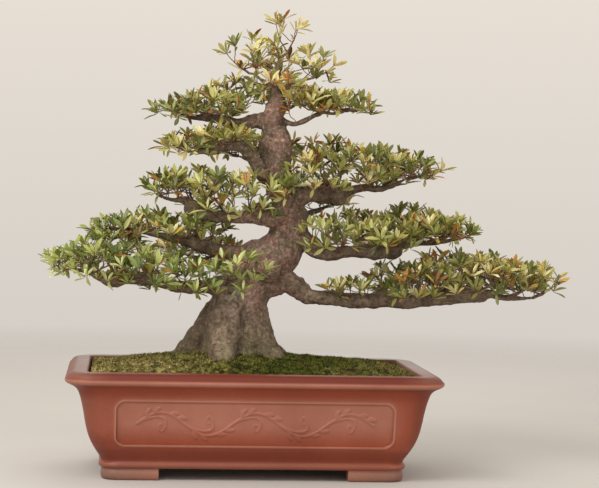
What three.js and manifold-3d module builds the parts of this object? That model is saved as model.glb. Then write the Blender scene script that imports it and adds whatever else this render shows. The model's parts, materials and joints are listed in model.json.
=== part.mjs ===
// Satsuki azalea bonsai in its rectangular unglazed clay pot.
// Units are millimetres and +Z is up. The tree and pot are laid out about the middle of the pot's
// footprint, at the level that the feet stand on, and the whole group is then moved so that its
// origin is the middle of the object's own outline, at that same level.

import * as THREE from "three";
import { mergeVertices } from "three/addons/utils/BufferGeometryUtils.js";
import Module from "manifold-3d";

const wasm = await Module();
wasm.setup();

// ---------------------------------------------------------------- driving dimensions

const GAP = 0.35;                   // clearance kept between neighbouring pieces
const SPLINTER = 0.02;              // faces thinner than this are smoothed away

const POT_LENGTH = 570;
const POT_DEPTH = 355;
const POT_HEIGHT = 163;
const RIM_WIDTH = 33.6;             // flat top of the lip, inner edge to bead
const FLARE_RATIO = 0.85;           // how much of the ends' outward flare the long sides have
const OUTER_CORNER = 28;            // corner radius of the walls seen from above
const LIP_CORNER = 38;              // the same round the lip
const INNER_CORNER = 12;
const FLOOR_TOP = 29;
const FOOT_LENGTH = 86;             // along the pot's long side
const FOOT_DEPTH = 66;              // along its short side
const FOOT_WALL = 26;               // the feet are L-shaped, open towards the pot's middle
const FOOT_HALF_LENGTH = 229;       // pot's middle to a foot's outer face
const FOOT_RISE = 17.5;             // clear height under the pot
const FOOT_CORNER = 24;
const DRAIN_RADIUS = 17;
const DRAIN_X = 125;                // drainage holes, either side of the middle

const PANEL_HALF_LENGTH = 209;
const PANEL_LOW = 53;
const PANEL_HIGH = 122;
const PANEL_CORNER = 15;
const PANEL_RECESS = 1.2;
const PANEL_CUT = 12;               // how far the recess's cutter stands out of the wall
const RIDGE_WIDTH = 3.4;
const RIDGE_PROUD = 1.3;
const BAND_ROOT = 5;                // how deep raised strips start inside the wall
const BAND_TAPER = 0.6;             // width of a strip's crest against its root
const SCROLL_SWING = 17.5;
const SCROLL_WAVES = 2.5;
const SCROLL_HALF_WIDTH = 1.6;
const SCROLL_MARGIN = 32;           // from the panel's ends
const SCROLL_STEPS = 18;
const SCROLL_PROUD = -0.1;          // the stem's crest stays just within the wall's face

const SCREEN_SIZE = 58;
const SCREEN_THICKNESS = 1.6;
const SCREEN_SLOT = 12;
const SCREEN_OFFSET = 9;            // each slot's middle from the screen's middle

const SOIL_EDGE = 155;              // soil level at the wall
const BED_HALF_LENGTH = 248;        // the soil's surface, its middle to the wall
const MOSS_THICKNESS = 5.5;
const CROWN_HEIGHT = 14;            // rise of the whole bed from its walls to its middle
const MOUND_HEIGHT = 18;            // further rise of the soil towards the trunk
const MOUND_SPREAD = [100, 80];
const TREE_FOOT = [-29, 0];         // where the trunk's axis meets the soil

const CORNER_STEPS = 3;             // flats in each round corner seen from above

const LEAF_LENGTH = 24;
const LEAF_HALF_WIDTH = 3.1;
const LEAF_WIDEST = 0.45;           // place of the widest part along the leaf
const LEAF_ARCH = 0.01;             // rise there and droop of the tip, as parts of the length
const LEAF_DROOP = 0.1;
const LEAF_KEEL = 1.3;              // depth of the blade under its midrib
const LEAVES_PER_SHOOT = 5;
const LEAF_LIFT = [0.25, 1];        // least and most rise of a leaf from its whorl's plane, radians
const HUB_RADIUS = 1.7;             // leafy end of a twig
const HUB_HALF_HEIGHT = 0.9;
const BUD_HEIGHT = 3.2;
const TWIG_RADIUS = 1.15;
const STEM_SWELL = 2.1;             // a spray's own stem at its start, against a twig

// ---------------------------------------------------------------- small helpers

const v3 = (p) => new THREE.Vector3(p[0], p[1], p[2]);
const mix = (a, b, t) => a + (b - a) * t;

// The same stream of draws for the same seed, each from 0 up to 1.
function seeded(seed) {
  let a = seed >>> 0;
  return () => {
    a = (a + 0x6d2b79f5) >>> 0;
    let t = Math.imul(a ^ (a >>> 15), 1 | a);
    t = (t + Math.imul(t ^ (t >>> 7), 61 | t)) ^ t;
    return ((t ^ (t >>> 14)) >>> 0) / 4294967296;
  };
}

function solidFromGeometry(source) {
  const geometry = source.clone();
  geometry.deleteAttribute("normal");
  geometry.deleteAttribute("uv");
  const merged = mergeVertices(geometry, 1e-4);
  return new wasm.Manifold(
    new wasm.Mesh({
      numProp: 3,
      vertProperties: new Float32Array(merged.attributes.position.array),
      triVerts: new Uint32Array(merged.index.array),
    }),
  );
}

function geometryFromSolid(solid) {
  const mesh = solid.getMesh();
  const positions = new Float32Array(mesh.numVert * 3);
  for (let i = 0; i < mesh.numVert; i += 1) {
    for (let k = 0; k < 3; k += 1) {
      positions[i * 3 + k] = mesh.vertProperties[i * mesh.numProp + k];
    }
  }
  const geometry = new THREE.BufferGeometry();
  geometry.setAttribute("position", new THREE.BufferAttribute(positions, 3));
  geometry.setIndex(Array.from(mesh.triVerts));
  geometry.computeVertexNormals();
  return geometry;
}

function union(solids) {
  return solids.reduce((sum, solid) => sum.add(solid));
}

// The biggest of a solid's bodies, with the splinters that cuts leave smoothed away: loose scraps
// and sealed hollows are left out.
function mainBody(solid) {
  const bodies = solid.simplify(SPLINTER).decompose();
  return bodies.reduce((best, body) => (body.volume() > best.volume() ? body : best));
}

// A closed skin over rings of equal count, with flat fans over the first and last ring. A ring of
// one point closes that end to a tip. Rings run anticlockwise as seen from beyond the last one.
// The first mirroredRows bands have their quads cut along the other diagonal.
function loft(rings, mirroredRows = 0) {
  const positions = [];
  const starts = [];
  for (const ring of rings) {
    starts.push(positions.length / 3);
    for (const p of ring) {
      positions.push(p.x, p.y, p.z);
    }
  }
  const index = [];
  for (let r = 0; r + 1 < rings.length; r += 1) {
    const low = rings[r].length;
    const high = rings[r + 1].length;
    const sides = Math.max(low, high);
    for (let i = 0; i < sides; i += 1) {
      const j = (i + 1) % sides;
      const a = starts[r] + (low === 1 ? 0 : i);
      const b = starts[r] + (low === 1 ? 0 : j);
      const c = starts[r + 1] + (high === 1 ? 0 : j);
      const d = starts[r + 1] + (high === 1 ? 0 : i);
      if (low > 1 && high > 1 && r < mirroredRows) {
        index.push(a, b, d, b, c, d);
        continue;
      }
      if (low > 1) {
        index.push(a, b, c);
      }
      if (high > 1) {
        index.push(a, c, d);
      }
    }
  }
  const last = rings.length - 1;
  for (let i = 1; i + 1 < rings[0].length; i += 1) {
    index.push(starts[0], starts[0] + i + 1, starts[0] + i);
  }
  for (let i = 1; i + 1 < rings[last].length; i += 1) {
    index.push(starts[last], starts[last] + i, starts[last] + i + 1);
  }
  const geometry = new THREE.BufferGeometry();
  geometry.setAttribute("position", new THREE.Float32BufferAttribute(positions, 3));
  geometry.setIndex(index);
  return geometry;
}

function boxSolid(low, high) {
  const geometry = new THREE.BoxGeometry(high[0] - low[0], high[1] - low[1], high[2] - low[2]);
  geometry.translate((low[0] + high[0]) / 2, (low[1] + high[1]) / 2, (low[2] + high[2]) / 2);
  return solidFromGeometry(geometry);
}

// A rectangle with round corners at height z, anticlockwise from above. spans adds points along
// the long and short sides.
function roundedRectangle(halfX, halfY, radius, z, spans = [1, 1]) {
  const corners = [[1, 1], [-1, 1], [-1, -1], [1, -1]];
  const ring = [];
  corners.forEach(([sx, sy], quarter) => {
    for (let i = 0; i <= CORNER_STEPS; i += 1) {
      const angle = (Math.PI / 2) * (quarter + i / CORNER_STEPS);
      ring.push(new THREE.Vector3(
        sx * (halfX - radius) + radius * Math.cos(angle),
        sy * (halfY - radius) + radius * Math.sin(angle),
        z,
      ));
    }
    const [nx, ny] = corners[(quarter + 1) % 4];
    const from = ring[ring.length - 1];
    const next = new THREE.Vector3(
      nx * (halfX - radius) + radius * Math.cos((Math.PI / 2) * (quarter + 1)),
      ny * (halfY - radius) + radius * Math.sin((Math.PI / 2) * (quarter + 1)),
      z,
    );
    const span = spans[quarter % 2];
    for (let i = 1; i < span; i += 1) {
      ring.push(from.clone().lerp(next, i / span));
    }
  });
  return ring;
}

// ---------------------------------------------------------------- pot

// Half length of the pot against height: up the outside, over the lip.
const OUTER_PROFILE = [
  [228.5, 17.5], [232.4, 19], [232.8, 24], [229.6, 27.5], [235.5, 39.5], [242.5, 51.5],
  [250, 70], [254.8, 90], [260, 117], [264, 130.5], [271.5, 140.5], [283, 147], [285, 151],
  [281.6, 156], [277, 160.8], [270, POT_HEIGHT],
];
const INNER_START_X = POT_LENGTH / 2 - RIM_WIDTH;
const INNER_START_Y = POT_DEPTH / 2 - RIM_WIDTH;
// The same down the inside, to the floor.
const INNER_PROFILE = [
  [INNER_START_X, POT_HEIGHT], [249.6, 142], [244, 100], [236, 62], [224, 36], [209, FLOOR_TOP],
];

const halfDepth = (halfLength) => POT_DEPTH / 2 - (POT_LENGTH / 2 - halfLength) * FLARE_RATIO;
const innerHalfDepth = (halfLength) => INNER_START_Y - (INNER_START_X - halfLength) * FLARE_RATIO;

// The corners grow rounder over this rise, from the foot of the lip up.
const LIP_FOOT = 128;
const LIP_RISE = 20;

// Half length of the outside at a height on the wall, between the waist and the lip.
const WAIST = 27;
const LIP = 142;
function wallHalfLength(z) {
  const wall = OUTER_PROFILE.filter(([, height]) => height > WAIST && height < LIP);
  const above = wall.findIndex(([, height]) => height >= z);
  const [x0, z0] = wall[above - 1];
  const [x1, z1] = wall[above];
  return mix(x0, x1, (z - z0) / (z1 - z0));
}

const wallY = (z) => halfDepth(wallHalfLength(z));

// Half length of the feet's outside against height, up into the pot's underside.
const FOOT_PROFILE = [[226.5, 0], [229.4, 4], [229.8, 10], [228.4, 15], [228, FOOT_RISE + 2]];

// One corner foot: a corner cut from a plate of the feet's outline, with its inner part taken out.
function footSolid(sx, sy) {
  const plate = solidFromGeometry(loft(
    FOOT_PROFILE.map(([x, z]) => roundedRectangle(x, halfDepth(x), FOOT_CORNER, z)),
  ));
  const outX = FOOT_HALF_LENGTH;
  const outY = halfDepth(FOOT_HALF_LENGTH);
  const corner = (x0, y0, x1, y1) => boxSolid(
    [Math.min(sx * x0, sx * x1), Math.min(sy * y0, sy * y1), -1],
    [Math.max(sx * x0, sx * x1), Math.max(sy * y0, sy * y1), FOOT_RISE + 1.5],
  );
  const block = corner(outX - FOOT_LENGTH, outY - FOOT_DEPTH, POT_LENGTH / 2, POT_DEPTH / 2);
  const hollow = corner(
    outX - FOOT_LENGTH - 1, outY - FOOT_DEPTH - 1, outX - FOOT_WALL, outY - FOOT_WALL,
  );
  return plate.intersect(block).subtract(hollow);
}

// A point on the front wall, pushed out by proud.
const onWall = (x, z, proud) => new THREE.Vector3(x, -wallY(z) - proud, z);

// A raised strip of a given width that follows a plan of points on the front wall. A closed one
// joins up with its own start.
function wallBand(plan, halfWidth, proud, closed) {
  const count = plan.length;
  const rings = plan.map(([x, z], i) => {
    const before = plan[closed ? (i - 1 + count) % count : Math.max(i - 1, 0)];
    const after = plan[closed ? (i + 1) % count : Math.min(i + 1, count - 1)];
    const along = new THREE.Vector2(after[0] - before[0], after[1] - before[1]).normalize();
    const across = [-along.y * halfWidth, along.x * halfWidth];
    return [
      onWall(x + across[0], z + across[1], -BAND_ROOT),
      onWall(x - across[0], z - across[1], -BAND_ROOT),
      onWall(x - across[0] * BAND_TAPER, z - across[1] * BAND_TAPER, proud),
      onWall(x + across[0] * BAND_TAPER, z + across[1] * BAND_TAPER, proud),
    ];
  });
  if (!closed) {
    return solidFromGeometry(loft(rings));
  }
  const positions = rings.flat().flatMap((p) => [p.x, p.y, p.z]);
  const index = [];
  for (let i = 0; i < count; i += 1) {
    const next = (i + 1) % count;
    for (let k = 0; k < 4; k += 1) {
      const l = (k + 1) % 4;
      index.push(i * 4 + k, i * 4 + l, next * 4 + l);
      index.push(i * 4 + k, next * 4 + l, next * 4 + k);
    }
  }
  const geometry = new THREE.BufferGeometry();
  geometry.setAttribute("position", new THREE.Float32BufferAttribute(positions, 3));
  geometry.setIndex(index);
  return solidFromGeometry(geometry);
}

// Outline of the panel as [x, z], anticlockwise as seen from the front.
function panelOutline(inset, spans) {
  const middle = (PANEL_LOW + PANEL_HIGH) / 2;
  const halfHeight = (PANEL_HIGH - PANEL_LOW) / 2 - inset;
  const ring = roundedRectangle(
    PANEL_HALF_LENGTH - inset, halfHeight, PANEL_CORNER - inset, 0, spans,
  );
  return ring.map((p) => [p.x, middle + p.y]);
}

// The panel's field is a shallow sunk plane that leans with the wall. Its edge lies under the
// raised frame's crest.
function panelRecess(side) {
  const lean = (z, out) => {
    const t = (z - PANEL_LOW) / (PANEL_HIGH - PANEL_LOW);
    return side * (mix(wallY(PANEL_LOW), wallY(PANEL_HIGH), t) + out);
  };
  const outline = panelOutline(RIDGE_WIDTH / 4, [1, 1]);
  const rings = [-PANEL_RECESS, PANEL_CUT].map((out) => outline.map(([x, z]) => (
    new THREE.Vector3(x, lean(z, out), z)
  )));
  return solidFromGeometry(loft(side < 0 ? rings : rings.map((ring) => ring.reverse())));
}

// A running vine line, the plain stem of a traditional scroll, raised from the panel's field.
function scrollStem() {
  const reach = PANEL_HALF_LENGTH - SCROLL_MARGIN;
  const middle = (PANEL_LOW + PANEL_HIGH) / 2;
  const plan = [];
  for (let i = 0; i <= SCROLL_STEPS; i += 1) {
    const t = i / SCROLL_STEPS;
    const swing = Math.sin(t * SCROLL_WAVES * 2 * Math.PI) * SCROLL_SWING;
    plan.push([mix(-reach, reach, t), middle + swing]);
  }
  return wallBand(plan, SCROLL_HALF_WIDTH, SCROLL_PROUD, false);
}

function potSolid() {
  const outer = OUTER_PROFILE.map(([x, z]) => {
    const lip = THREE.MathUtils.clamp((z - LIP_FOOT) / LIP_RISE, 0, 1);
    return roundedRectangle(x, halfDepth(x), mix(OUTER_CORNER, LIP_CORNER, lip), z);
  });
  const inner = INNER_PROFILE.map(([x, z]) => (
    roundedRectangle(x, innerHalfDepth(x), INNER_CORNER, z)
  ));
  let pot = solidFromGeometry(loft([...outer, ...inner]));
  for (const sx of [-1, 1]) {
    for (const sy of [-1, 1]) {
      pot = pot.add(footSolid(sx, sy));
    }
    const drain = new THREE.CylinderGeometry(DRAIN_RADIUS, DRAIN_RADIUS, 2 * FLOOR_TOP, 16);
    drain.rotateX(Math.PI / 2);
    drain.translate(sx * DRAIN_X, 0, FLOOR_TOP);
    pot = pot.subtract(solidFromGeometry(drain));
  }
  pot = pot.subtract(panelRecess(-1)).subtract(panelRecess(1));
  const ridge = wallBand(panelOutline(0, [1, 3]), RIDGE_WIDTH / 2, RIDGE_PROUD, true);
  return mainBody(pot.add(ridge).add(scrollStem()));
}

function drainScreen(sx) {
  const z = FLOOR_TOP + GAP;
  const half = SCREEN_SIZE / 2;
  const x = sx * DRAIN_X;
  let screen = boxSolid([x - half, -half, z], [x + half, half, z + SCREEN_THICKNESS]);
  const slot = SCREEN_SLOT / 2;
  for (const i of [-1, 1]) {
    for (const j of [-1, 1]) {
      const cx = x + i * SCREEN_OFFSET;
      const cy = j * SCREEN_OFFSET;
      screen = screen.subtract(boxSolid(
        [cx - slot, cy - slot, z - SCREEN_THICKNESS],
        [cx + slot, cy + slot, z + 2 * SCREEN_THICKNESS],
      ));
    }
  }
  return screen;
}

// ---------------------------------------------------------------- tree: wood

// Each limb is a list of [x, y, z, radius], from inside what it grows from to its own end.
const LIMBS = {
  right_1: [
    [16, 8, 293, 24], [50, 2, 297, 19.5], [72, -1, 285, 15.5], [94, -4, 273.5, 12.6],
    [130, -9, 271, 11.8], [172, -14, 268.5, 12.4], [209, -16, 272, 11.7], [242, -18, 270, 13],
    [285, -20, 275, 11.6], [328, -18, 281, 12.6], [360, -14, 281, 13], [377, -12, 283, 7.8],
    [400, -8, 277, 5], [426, -4, 276, 3.4], [448, 0, 277, 2.3],
  ],
  right_2: [
    [43, 4, 373, 19], [74, -4, 366, 15.5], [94, -10, 350, 13], [117, -14, 341, 10.9],
    [145, -18, 345, 9.6], [175, -20, 345, 11.5], [207, -18, 349, 13], [234, -14, 359, 10.5],
    [255, -10, 362, 7.6], [278, -5, 361, 4.7], [304, 0, 364, 3.4], [332, 4, 370, 2.2],
  ],
  right_3: [
    [47, 0, 430, 17], [76, 4, 432, 15], [98, 8, 436, 13.3], [121, 12, 432, 12.5],
    [144, 15, 437, 8.6], [173, 18, 446, 6.6], [198, 18, 445, 5.6], [218, 16, 449, 4],
    [242, 14, 462, 2.3],
  ],
  right_4: [
    [30, -6, 553, 8], [50, -9, 545, 4.8], [62, -9, 543, 4], [81, -8, 551, 3.8], [102, -6, 562, 3.5],
    [122, -4, 561, 3], [142, -2, 566, 2.4],
  ],
  left_5: [
    [28, -6, 545, 14.5], [4, -2, 547, 12], [-27, 2, 541, 9.6], [-66, 4, 549, 6.4],
    [-96, 2, 550, 4.1], [-114, 0, 554, 3.1], [-128, 0, 560, 2.2],
  ],
  left_4: [
    [34, -6, 452, 14], [11, -14, 464, 11.7], [-2, -18, 485, 10.6], [-19, -20, 503, 9.3],
    [-40, -20, 506, 7.5], [-64, -18, 501, 5.3], [-84, -16, 495, 4], [-103, -14, 496, 3],
    [-120, -12, 503, 2.1],
  ],
  left_3: [
    [48, -4, 399, 18.5], [19, -10, 400, 16.4], [-3, -12, 399, 13], [-25, -12, 397, 10],
    [-53, -12, 395, 9.3], [-78, -12, 398, 10.9], [-96, -10, 411, 9.4], [-110, -8, 420, 6.6],
    [-126, -6, 420, 3.5], [-143, -4, 424, 2.2],
  ],
  left_2: [
    [43, 4, 351, 20], [9, 8, 347, 15], [-19, 14, 340, 11.8], [-42, 20, 341, 9.8],
    [-63, 24, 344, 10.2], [-83, 26, 350, 10.7], [-102, 26, 356, 9.2], [-123, 26, 360, 6.9],
    [-146, 26, 364, 4.7], [-170, 24, 368, 3.5], [-194, 22, 373, 2.2],
  ],
  left_1: [
    [-14, -6, 278, 26.5], [-48, -16, 286, 18.5], [-76, -22, 286, 12.4], [-106, -26, 285, 9.9],
    [-137, -28, 291, 9.6], [-168, -28, 298, 9.9], [-199, -26, 298, 10.9], [-220, -24, 294, 9.9],
    [-240, -20, 301, 6.8], [-258, -14, 307, 4.4], [-275, -8, 308, 3], [-292, -4, 309, 2],
  ],
  back_1: [
    [-22, 16, 300, 14], [-36, 55, 312, 9.6], [-52, 90, 318, 7.4], [-72, 122, 324, 5],
    [-92, 148, 328, 3], [-104, 166, 332, 2],
  ],
  back_2: [
    [52, 6, 385, 13], [72, 42, 396, 8.6], [92, 75, 402, 6.4], [112, 105, 408, 4.2],
    [128, 130, 414, 2.4],
  ],
  back_3: [
    [38, 0, 462, 12], [28, 38, 474, 7.6], [12, 72, 482, 5.4], [-5, 102, 488, 3.6],
    [-18, 128, 494, 2.2],
  ],
  back_4: [
    [32, -8, 545, 9], [40, 25, 556, 5.6], [48, 55, 564, 3.6], [54, 80, 570, 2.2],
  ],
  leader: [[29, -14, 588, 8.5], [27, -16, 604, 4.4], [30, -15, 624, 3.2], [36, -12, 646, 2.3]],
  leader_right: [[30, -14, 592, 4.6], [48, -9, 603, 3.4], [68, -2, 613, 2.4]],
  leader_left: [[28, -15, 596, 4.4], [10, -9, 608, 3.3], [-4, -1, 620, 2.2]],
};

// The trunk itself: [x, y, z, half width, half depth] up its winding axis.
const TRUNK = [
  [-29, 0, 124, 34, 30], [-27, 0, 160, 62, 54], [-25, 1, 196, 58, 50],
  [-22, 2, 228, 49, 44], [-19, 4, 256, 43, 40], [-9, 6, 284, 41, 40], [13, 8, 312, 39, 38],
  [37, 9, 337, 36, 35], [53, 7, 361, 32, 31], [57, 5, 385, 29, 28], [53, 2, 408, 27, 26],
  [47, -1, 432, 23.5, 23], [39, -3, 455, 22, 21], [34, -5, 478, 22, 21], [33, -7, 505, 24, 21],
  [32, -9, 524, 21.5, 19.5], [25, -11, 541, 16, 16], [27, -12, 557, 16.5, 16], [32, -13, 573, 16, 15],
  [31, -14, 589, 10, 9.5],
];

// Surface roots: [x, y, z, radius], from inside the trunk's foot down into the soil.
const ROOTS = [
  [
    [-38, 0, 252, 27], [-68, 2, 217, 25], [-93, 5, 188, 18], [-120, 8, 168, 12],
    [-148, 12, 152, 5],
  ],
  [
    [-34, -10, 256, 32], [-43, -38, 220, 27], [-47, -66, 187, 21], [-47, -94, 160, 14],
    [-47, -118, 142, 6],
  ],
  [[-8, -6, 246, 27], [8, -22, 212, 24], [24, -33, 190, 18], [42, -42, 172, 12], [64, -52, 154, 5]],
  [[-8, 4, 234, 20], [9, 8, 205, 18.5], [32, 12, 186, 16], [58, 16, 172, 10.5], [84, 20, 158, 5]],
  [[-12, 18, 250, 28], [8, 48, 206, 20], [26, 76, 175, 13], [44, 102, 150, 5]],
  [[-36, 20, 248, 28], [-58, 53, 205, 20], [-78, 82, 175, 13], [-96, 108, 150, 5]],
];

// Healed stubs and swellings: [x, y, z, radius].
const KNOBS = [
  [8, -14, 403, 18], [46, -6, 511, 13], [22, -24, 316, 22], [352, -16, 288, 16],
  [219, -14, 352, 17], [132, 8, 433, 16], [-96, -14, 408, 13],
];

// Unevenness of the wood: parts of the radius, [waves round the wood, depth, drift a ring].
const LIMB_LOBES = [[3, 0.07, 1.9]];
const TRUNK_LOBES = [[3, 0.06, 0.8], [5, 0.045, -0.6]];
const ROOT_SIDES = 6;
const TRUNK_SIDES = 12;
const STOUT_LIMB = 8.5;             // limbs above this radius get six sides, the others five

function lobes(waves, angle, ring, phase) {
  return waves.reduce((sum, [count, depth, drift]) => (
    sum + depth * Math.sin(count * angle + drift * ring + phase)
  ), 1);
}

// Rings square to a path. The first normal starts near a given direction and is carried along.
function ringsAlong(points, sides, ringPoint, startNormal) {
  const centres = points.map(v3);
  const normal = startNormal.clone();
  return centres.map((centre, i) => {
    const before = centres[Math.max(i - 1, 0)];
    const after = centres[Math.min(i + 1, centres.length - 1)];
    const tangent = after.clone().sub(before).normalize();
    normal.addScaledVector(tangent, -normal.dot(tangent)).normalize();
    const binormal = tangent.clone().cross(normal);
    const ring = [];
    for (let k = 0; k < sides; k += 1) {
      const angle = (2 * Math.PI * k) / sides;
      const [a, b] = ringPoint(i, angle);
      ring.push(centre.clone().addScaledVector(normal, a).addScaledVector(binormal, b));
    }
    return ring;
  });
}

// Wood swells and pinches along its length and is never quite round.
function woodTube(points, sides, grow, phase) {
  const rings = ringsAlong(
    points,
    sides,
    (i, angle) => {
      const radius = points[i][3] * lobes(LIMB_LOBES, angle, i, phase) + grow;
      return [radius * Math.cos(angle), radius * Math.sin(angle)];
    },
    new THREE.Vector3(0, 1, 0.3),
  );
  return solidFromGeometry(loft(rings));
}

function trunkSolid(grow) {
  const trunkRings = ringsAlong(
    TRUNK,
    TRUNK_SIDES,
    (i, angle) => {
      const uneven = lobes(TRUNK_LOBES, angle, i, 0);
      const [, , , acrossX, acrossY] = TRUNK[i];
      return [
        (acrossX * uneven + grow) * Math.cos(angle),
        (acrossY * uneven + grow) * Math.sin(angle),
      ];
    },
    new THREE.Vector3(1, 0, 0),
  );
  const solids = [solidFromGeometry(loft(trunkRings))];
  ROOTS.forEach((points, i) => solids.push(woodTube(points, ROOT_SIDES, grow, i)));
  Object.values(LIMBS).forEach((points, i) => {
    const sides = points[1][3] > STOUT_LIMB ? 6 : 5;
    solids.push(woodTube(points, sides, grow, i));
  });
  for (const [x, y, z, radius] of KNOBS) {
    const knob = new THREE.SphereGeometry(radius + grow, 6, 4);
    knob.translate(x, y, z);
    solids.push(solidFromGeometry(knob));
  }
  return mainBody(union(solids));
}

// ---------------------------------------------------------------- tree: leafy sprays

// Each spray grows from a limb and fills its own low dome: limb, place along it in points from
// its start, the dome's middle, its half sizes, and how many leafy shoots it may end in.
const SPRAYS = [
  ["right_1", 4.3, [158, -30, 286], [48, 20, 10], 1],
  ["right_1", 6.9, [232, 40, 300], [46, 42, 20], 1],
  ["right_1", 7.4, [262, -56, 302], [46, 40, 20], 2],
  ["right_1", 8.6, [312, 46, 315], [50, 42, 24], 2],
  ["right_1", 9.1, [344, -54, 314], [50, 40, 24], 2],
  ["right_1", 10.9, [384, 40, 316], [46, 40, 22], 2],
  ["right_1", 11.8, [412, -42, 308], [44, 36, 20], 3],
  ["right_1", 14, [453, 4, 303], [40, 38, 22], 3],
  ["right_2", 3.5, [114, -46, 374], [42, 30, 20], 1],
  ["right_2", 5.0, [172, 42, 384], [48, 42, 20], 1],
  ["right_2", 6.0, [202, -50, 370], [48, 36, 18], 1],
  ["right_2", 7.5, [255, 36, 390], [46, 40, 23], 2],
  ["right_2", 8.5, [276, -38, 378], [44, 36, 18], 2],
  ["right_2", 11, [308, 6, 380], [44, 40, 18], 3],
  ["right_3", 2.0, [98, -36, 468], [46, 32, 24], 2],
  ["right_3", 3.0, [122, 48, 493], [46, 40, 26], 2],
  ["right_3", 5.0, [172, -28, 480], [46, 36, 22], 2],
  ["right_3", 6.0, [206, 45, 485], [46, 38, 20], 2],
  ["right_3", 8, [250, 8, 472], [46, 40, 20], 3],
  ["right_4", 3.5, [88, -30, 572], [44, 28, 18], 2],
  ["right_4", 6, [138, 5, 571], [44, 38, 18], 3],
  ["left_5", 2.0, [-32, 36, 586], [42, 36, 24], 2],
  ["left_5", 3.0, [-68, -32, 566], [42, 34, 20], 2],
  ["left_5", 6, [-114, 4, 558], [44, 38, 16], 3],
  ["leader", 3, [42, -8, 688], [25, 26, 28], 3],
  ["leader_left", 2, [-14, 8, 646], [38, 34, 32], 3],
  ["leader_right", 2, [91, 8, 631], [34, 32, 34], 3],
  ["leader", 0.6, [24, -44, 600], [44, 26, 20], 1],
  ["leader", 1.6, [36, 46, 632], [42, 32, 24], 1],
  ["left_4", 4.0, [-46, -34, 516], [38, 30, 18], 1],
  ["left_4", 8, [-103, -10, 501], [44, 36, 18], 2],
  ["left_3", 2.0, [4, -52, 440], [38, 26, 20], 1],
  ["left_3", 4.0, [-54, -46, 440], [42, 32, 20], 1],
  ["left_3", 5.5, [-80, 36, 447], [44, 38, 20], 2],
  ["left_3", 9, [-124, -8, 438], [42, 38, 22], 3],
  ["left_2", 4.5, [-76, 66, 372], [42, 34, 16], 1],
  ["left_2", 6.0, [-112, -20, 376], [44, 34, 17], 1],
  ["left_2", 8.0, [-162, 48, 378], [46, 36, 20], 2],
  ["left_2", 10, [-212, 2, 367], [46, 42, 20], 3],
  ["left_1", 1.0, [-24, -64, 318], [44, 24, 20], 2],
  ["left_1", 2.5, [-95, -64, 306], [42, 32, 18], 1],
  ["left_1", 3.5, [-128, 26, 318], [42, 34, 18], 1],
  ["left_1", 5.0, [-170, -68, 314], [44, 34, 22], 2],
  ["left_1", 6.2, [-206, 30, 336], [46, 38, 24], 2],
  ["left_1", 7.5, [-240, -50, 334], [44, 36, 24], 3],
  ["left_1", 11, [-282, 0, 316], [42, 40, 22], 3],
  ["back_1", 3.0, [-46, 112, 335], [42, 34, 16], 1],
  ["back_1", 5, [-104, 150, 338], [46, 40, 18], 2],
  ["back_2", 4, [128, 118, 428], [48, 42, 20], 2],
  ["back_3", 2.0, [34, 84, 504], [42, 34, 20], 1],
  ["back_3", 4, [-22, 120, 508], [46, 40, 20], 2],
  ["back_4", 3, [54, 74, 586], [44, 36, 18], 1],
  ["right_3", 0.4, [54, -50, 440], [24, 16, 32], 1],
];

const CANDIDATES = 12;              // places tried for each shoot, of which the loneliest is kept
const SHELL_START = 0.72;           // shoots end in the outer part of their dome
const DOME_BELOW = 0.2;             // how far a dome goes below its middle, against its half height
const FIRST_TIP_RISE = 0.2;         // the first shoot's end above the middle, against the same
const LOOK_BACK = 1.5;              // a spray points away from this far back along its limb
const TWIG_JOINTS = [0.4, 0.7];     // places along a twig where it bends and others start
const LAST_TWIG_JOINTS = [0.6];
const RUN_COST = 0.35;              // twigs rather start near the spray's base
const BEND_ALONG = 0.55;            // a twig's bend: its place along, and its share of the rise
const BEND_RISE = 0.12;
const AXIS_LEAN = 0.55;             // how much outer whorls lean outwards
const HEAD_START = 0.93;            // the part of a twig tested together with its leaves
const GROWTH_SEED = 101;
const WHORL_SEED = 7000;
const WHORL_SEED_STEP = 50;
const ATTEMPTS = 8;                 // turns of a whorl tried to clear its neighbours

function limbPoint(name, at) {
  const points = LIMBS[name];
  const i = Math.min(Math.floor(at), points.length - 2);
  const t = at - i;
  return new THREE.Vector3(...[0, 1, 2].map((k) => mix(points[i][k], points[i + 1][k], t)));
}

// A point inside a spray's dome.
function domePoint(centre, half, draw) {
  const angle = 2 * Math.PI * draw();
  const rise = mix(-DOME_BELOW, 1, draw());
  const shell = mix(SHELL_START, 1, draw());
  const flat = Math.sqrt(Math.max(0, 1 - rise * rise)) * shell;
  return new THREE.Vector3(
    centre.x + Math.cos(angle) * flat * half.x,
    centre.y + Math.sin(angle) * flat * half.y,
    centre.z + rise * shell * half.z,
  );
}

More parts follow.
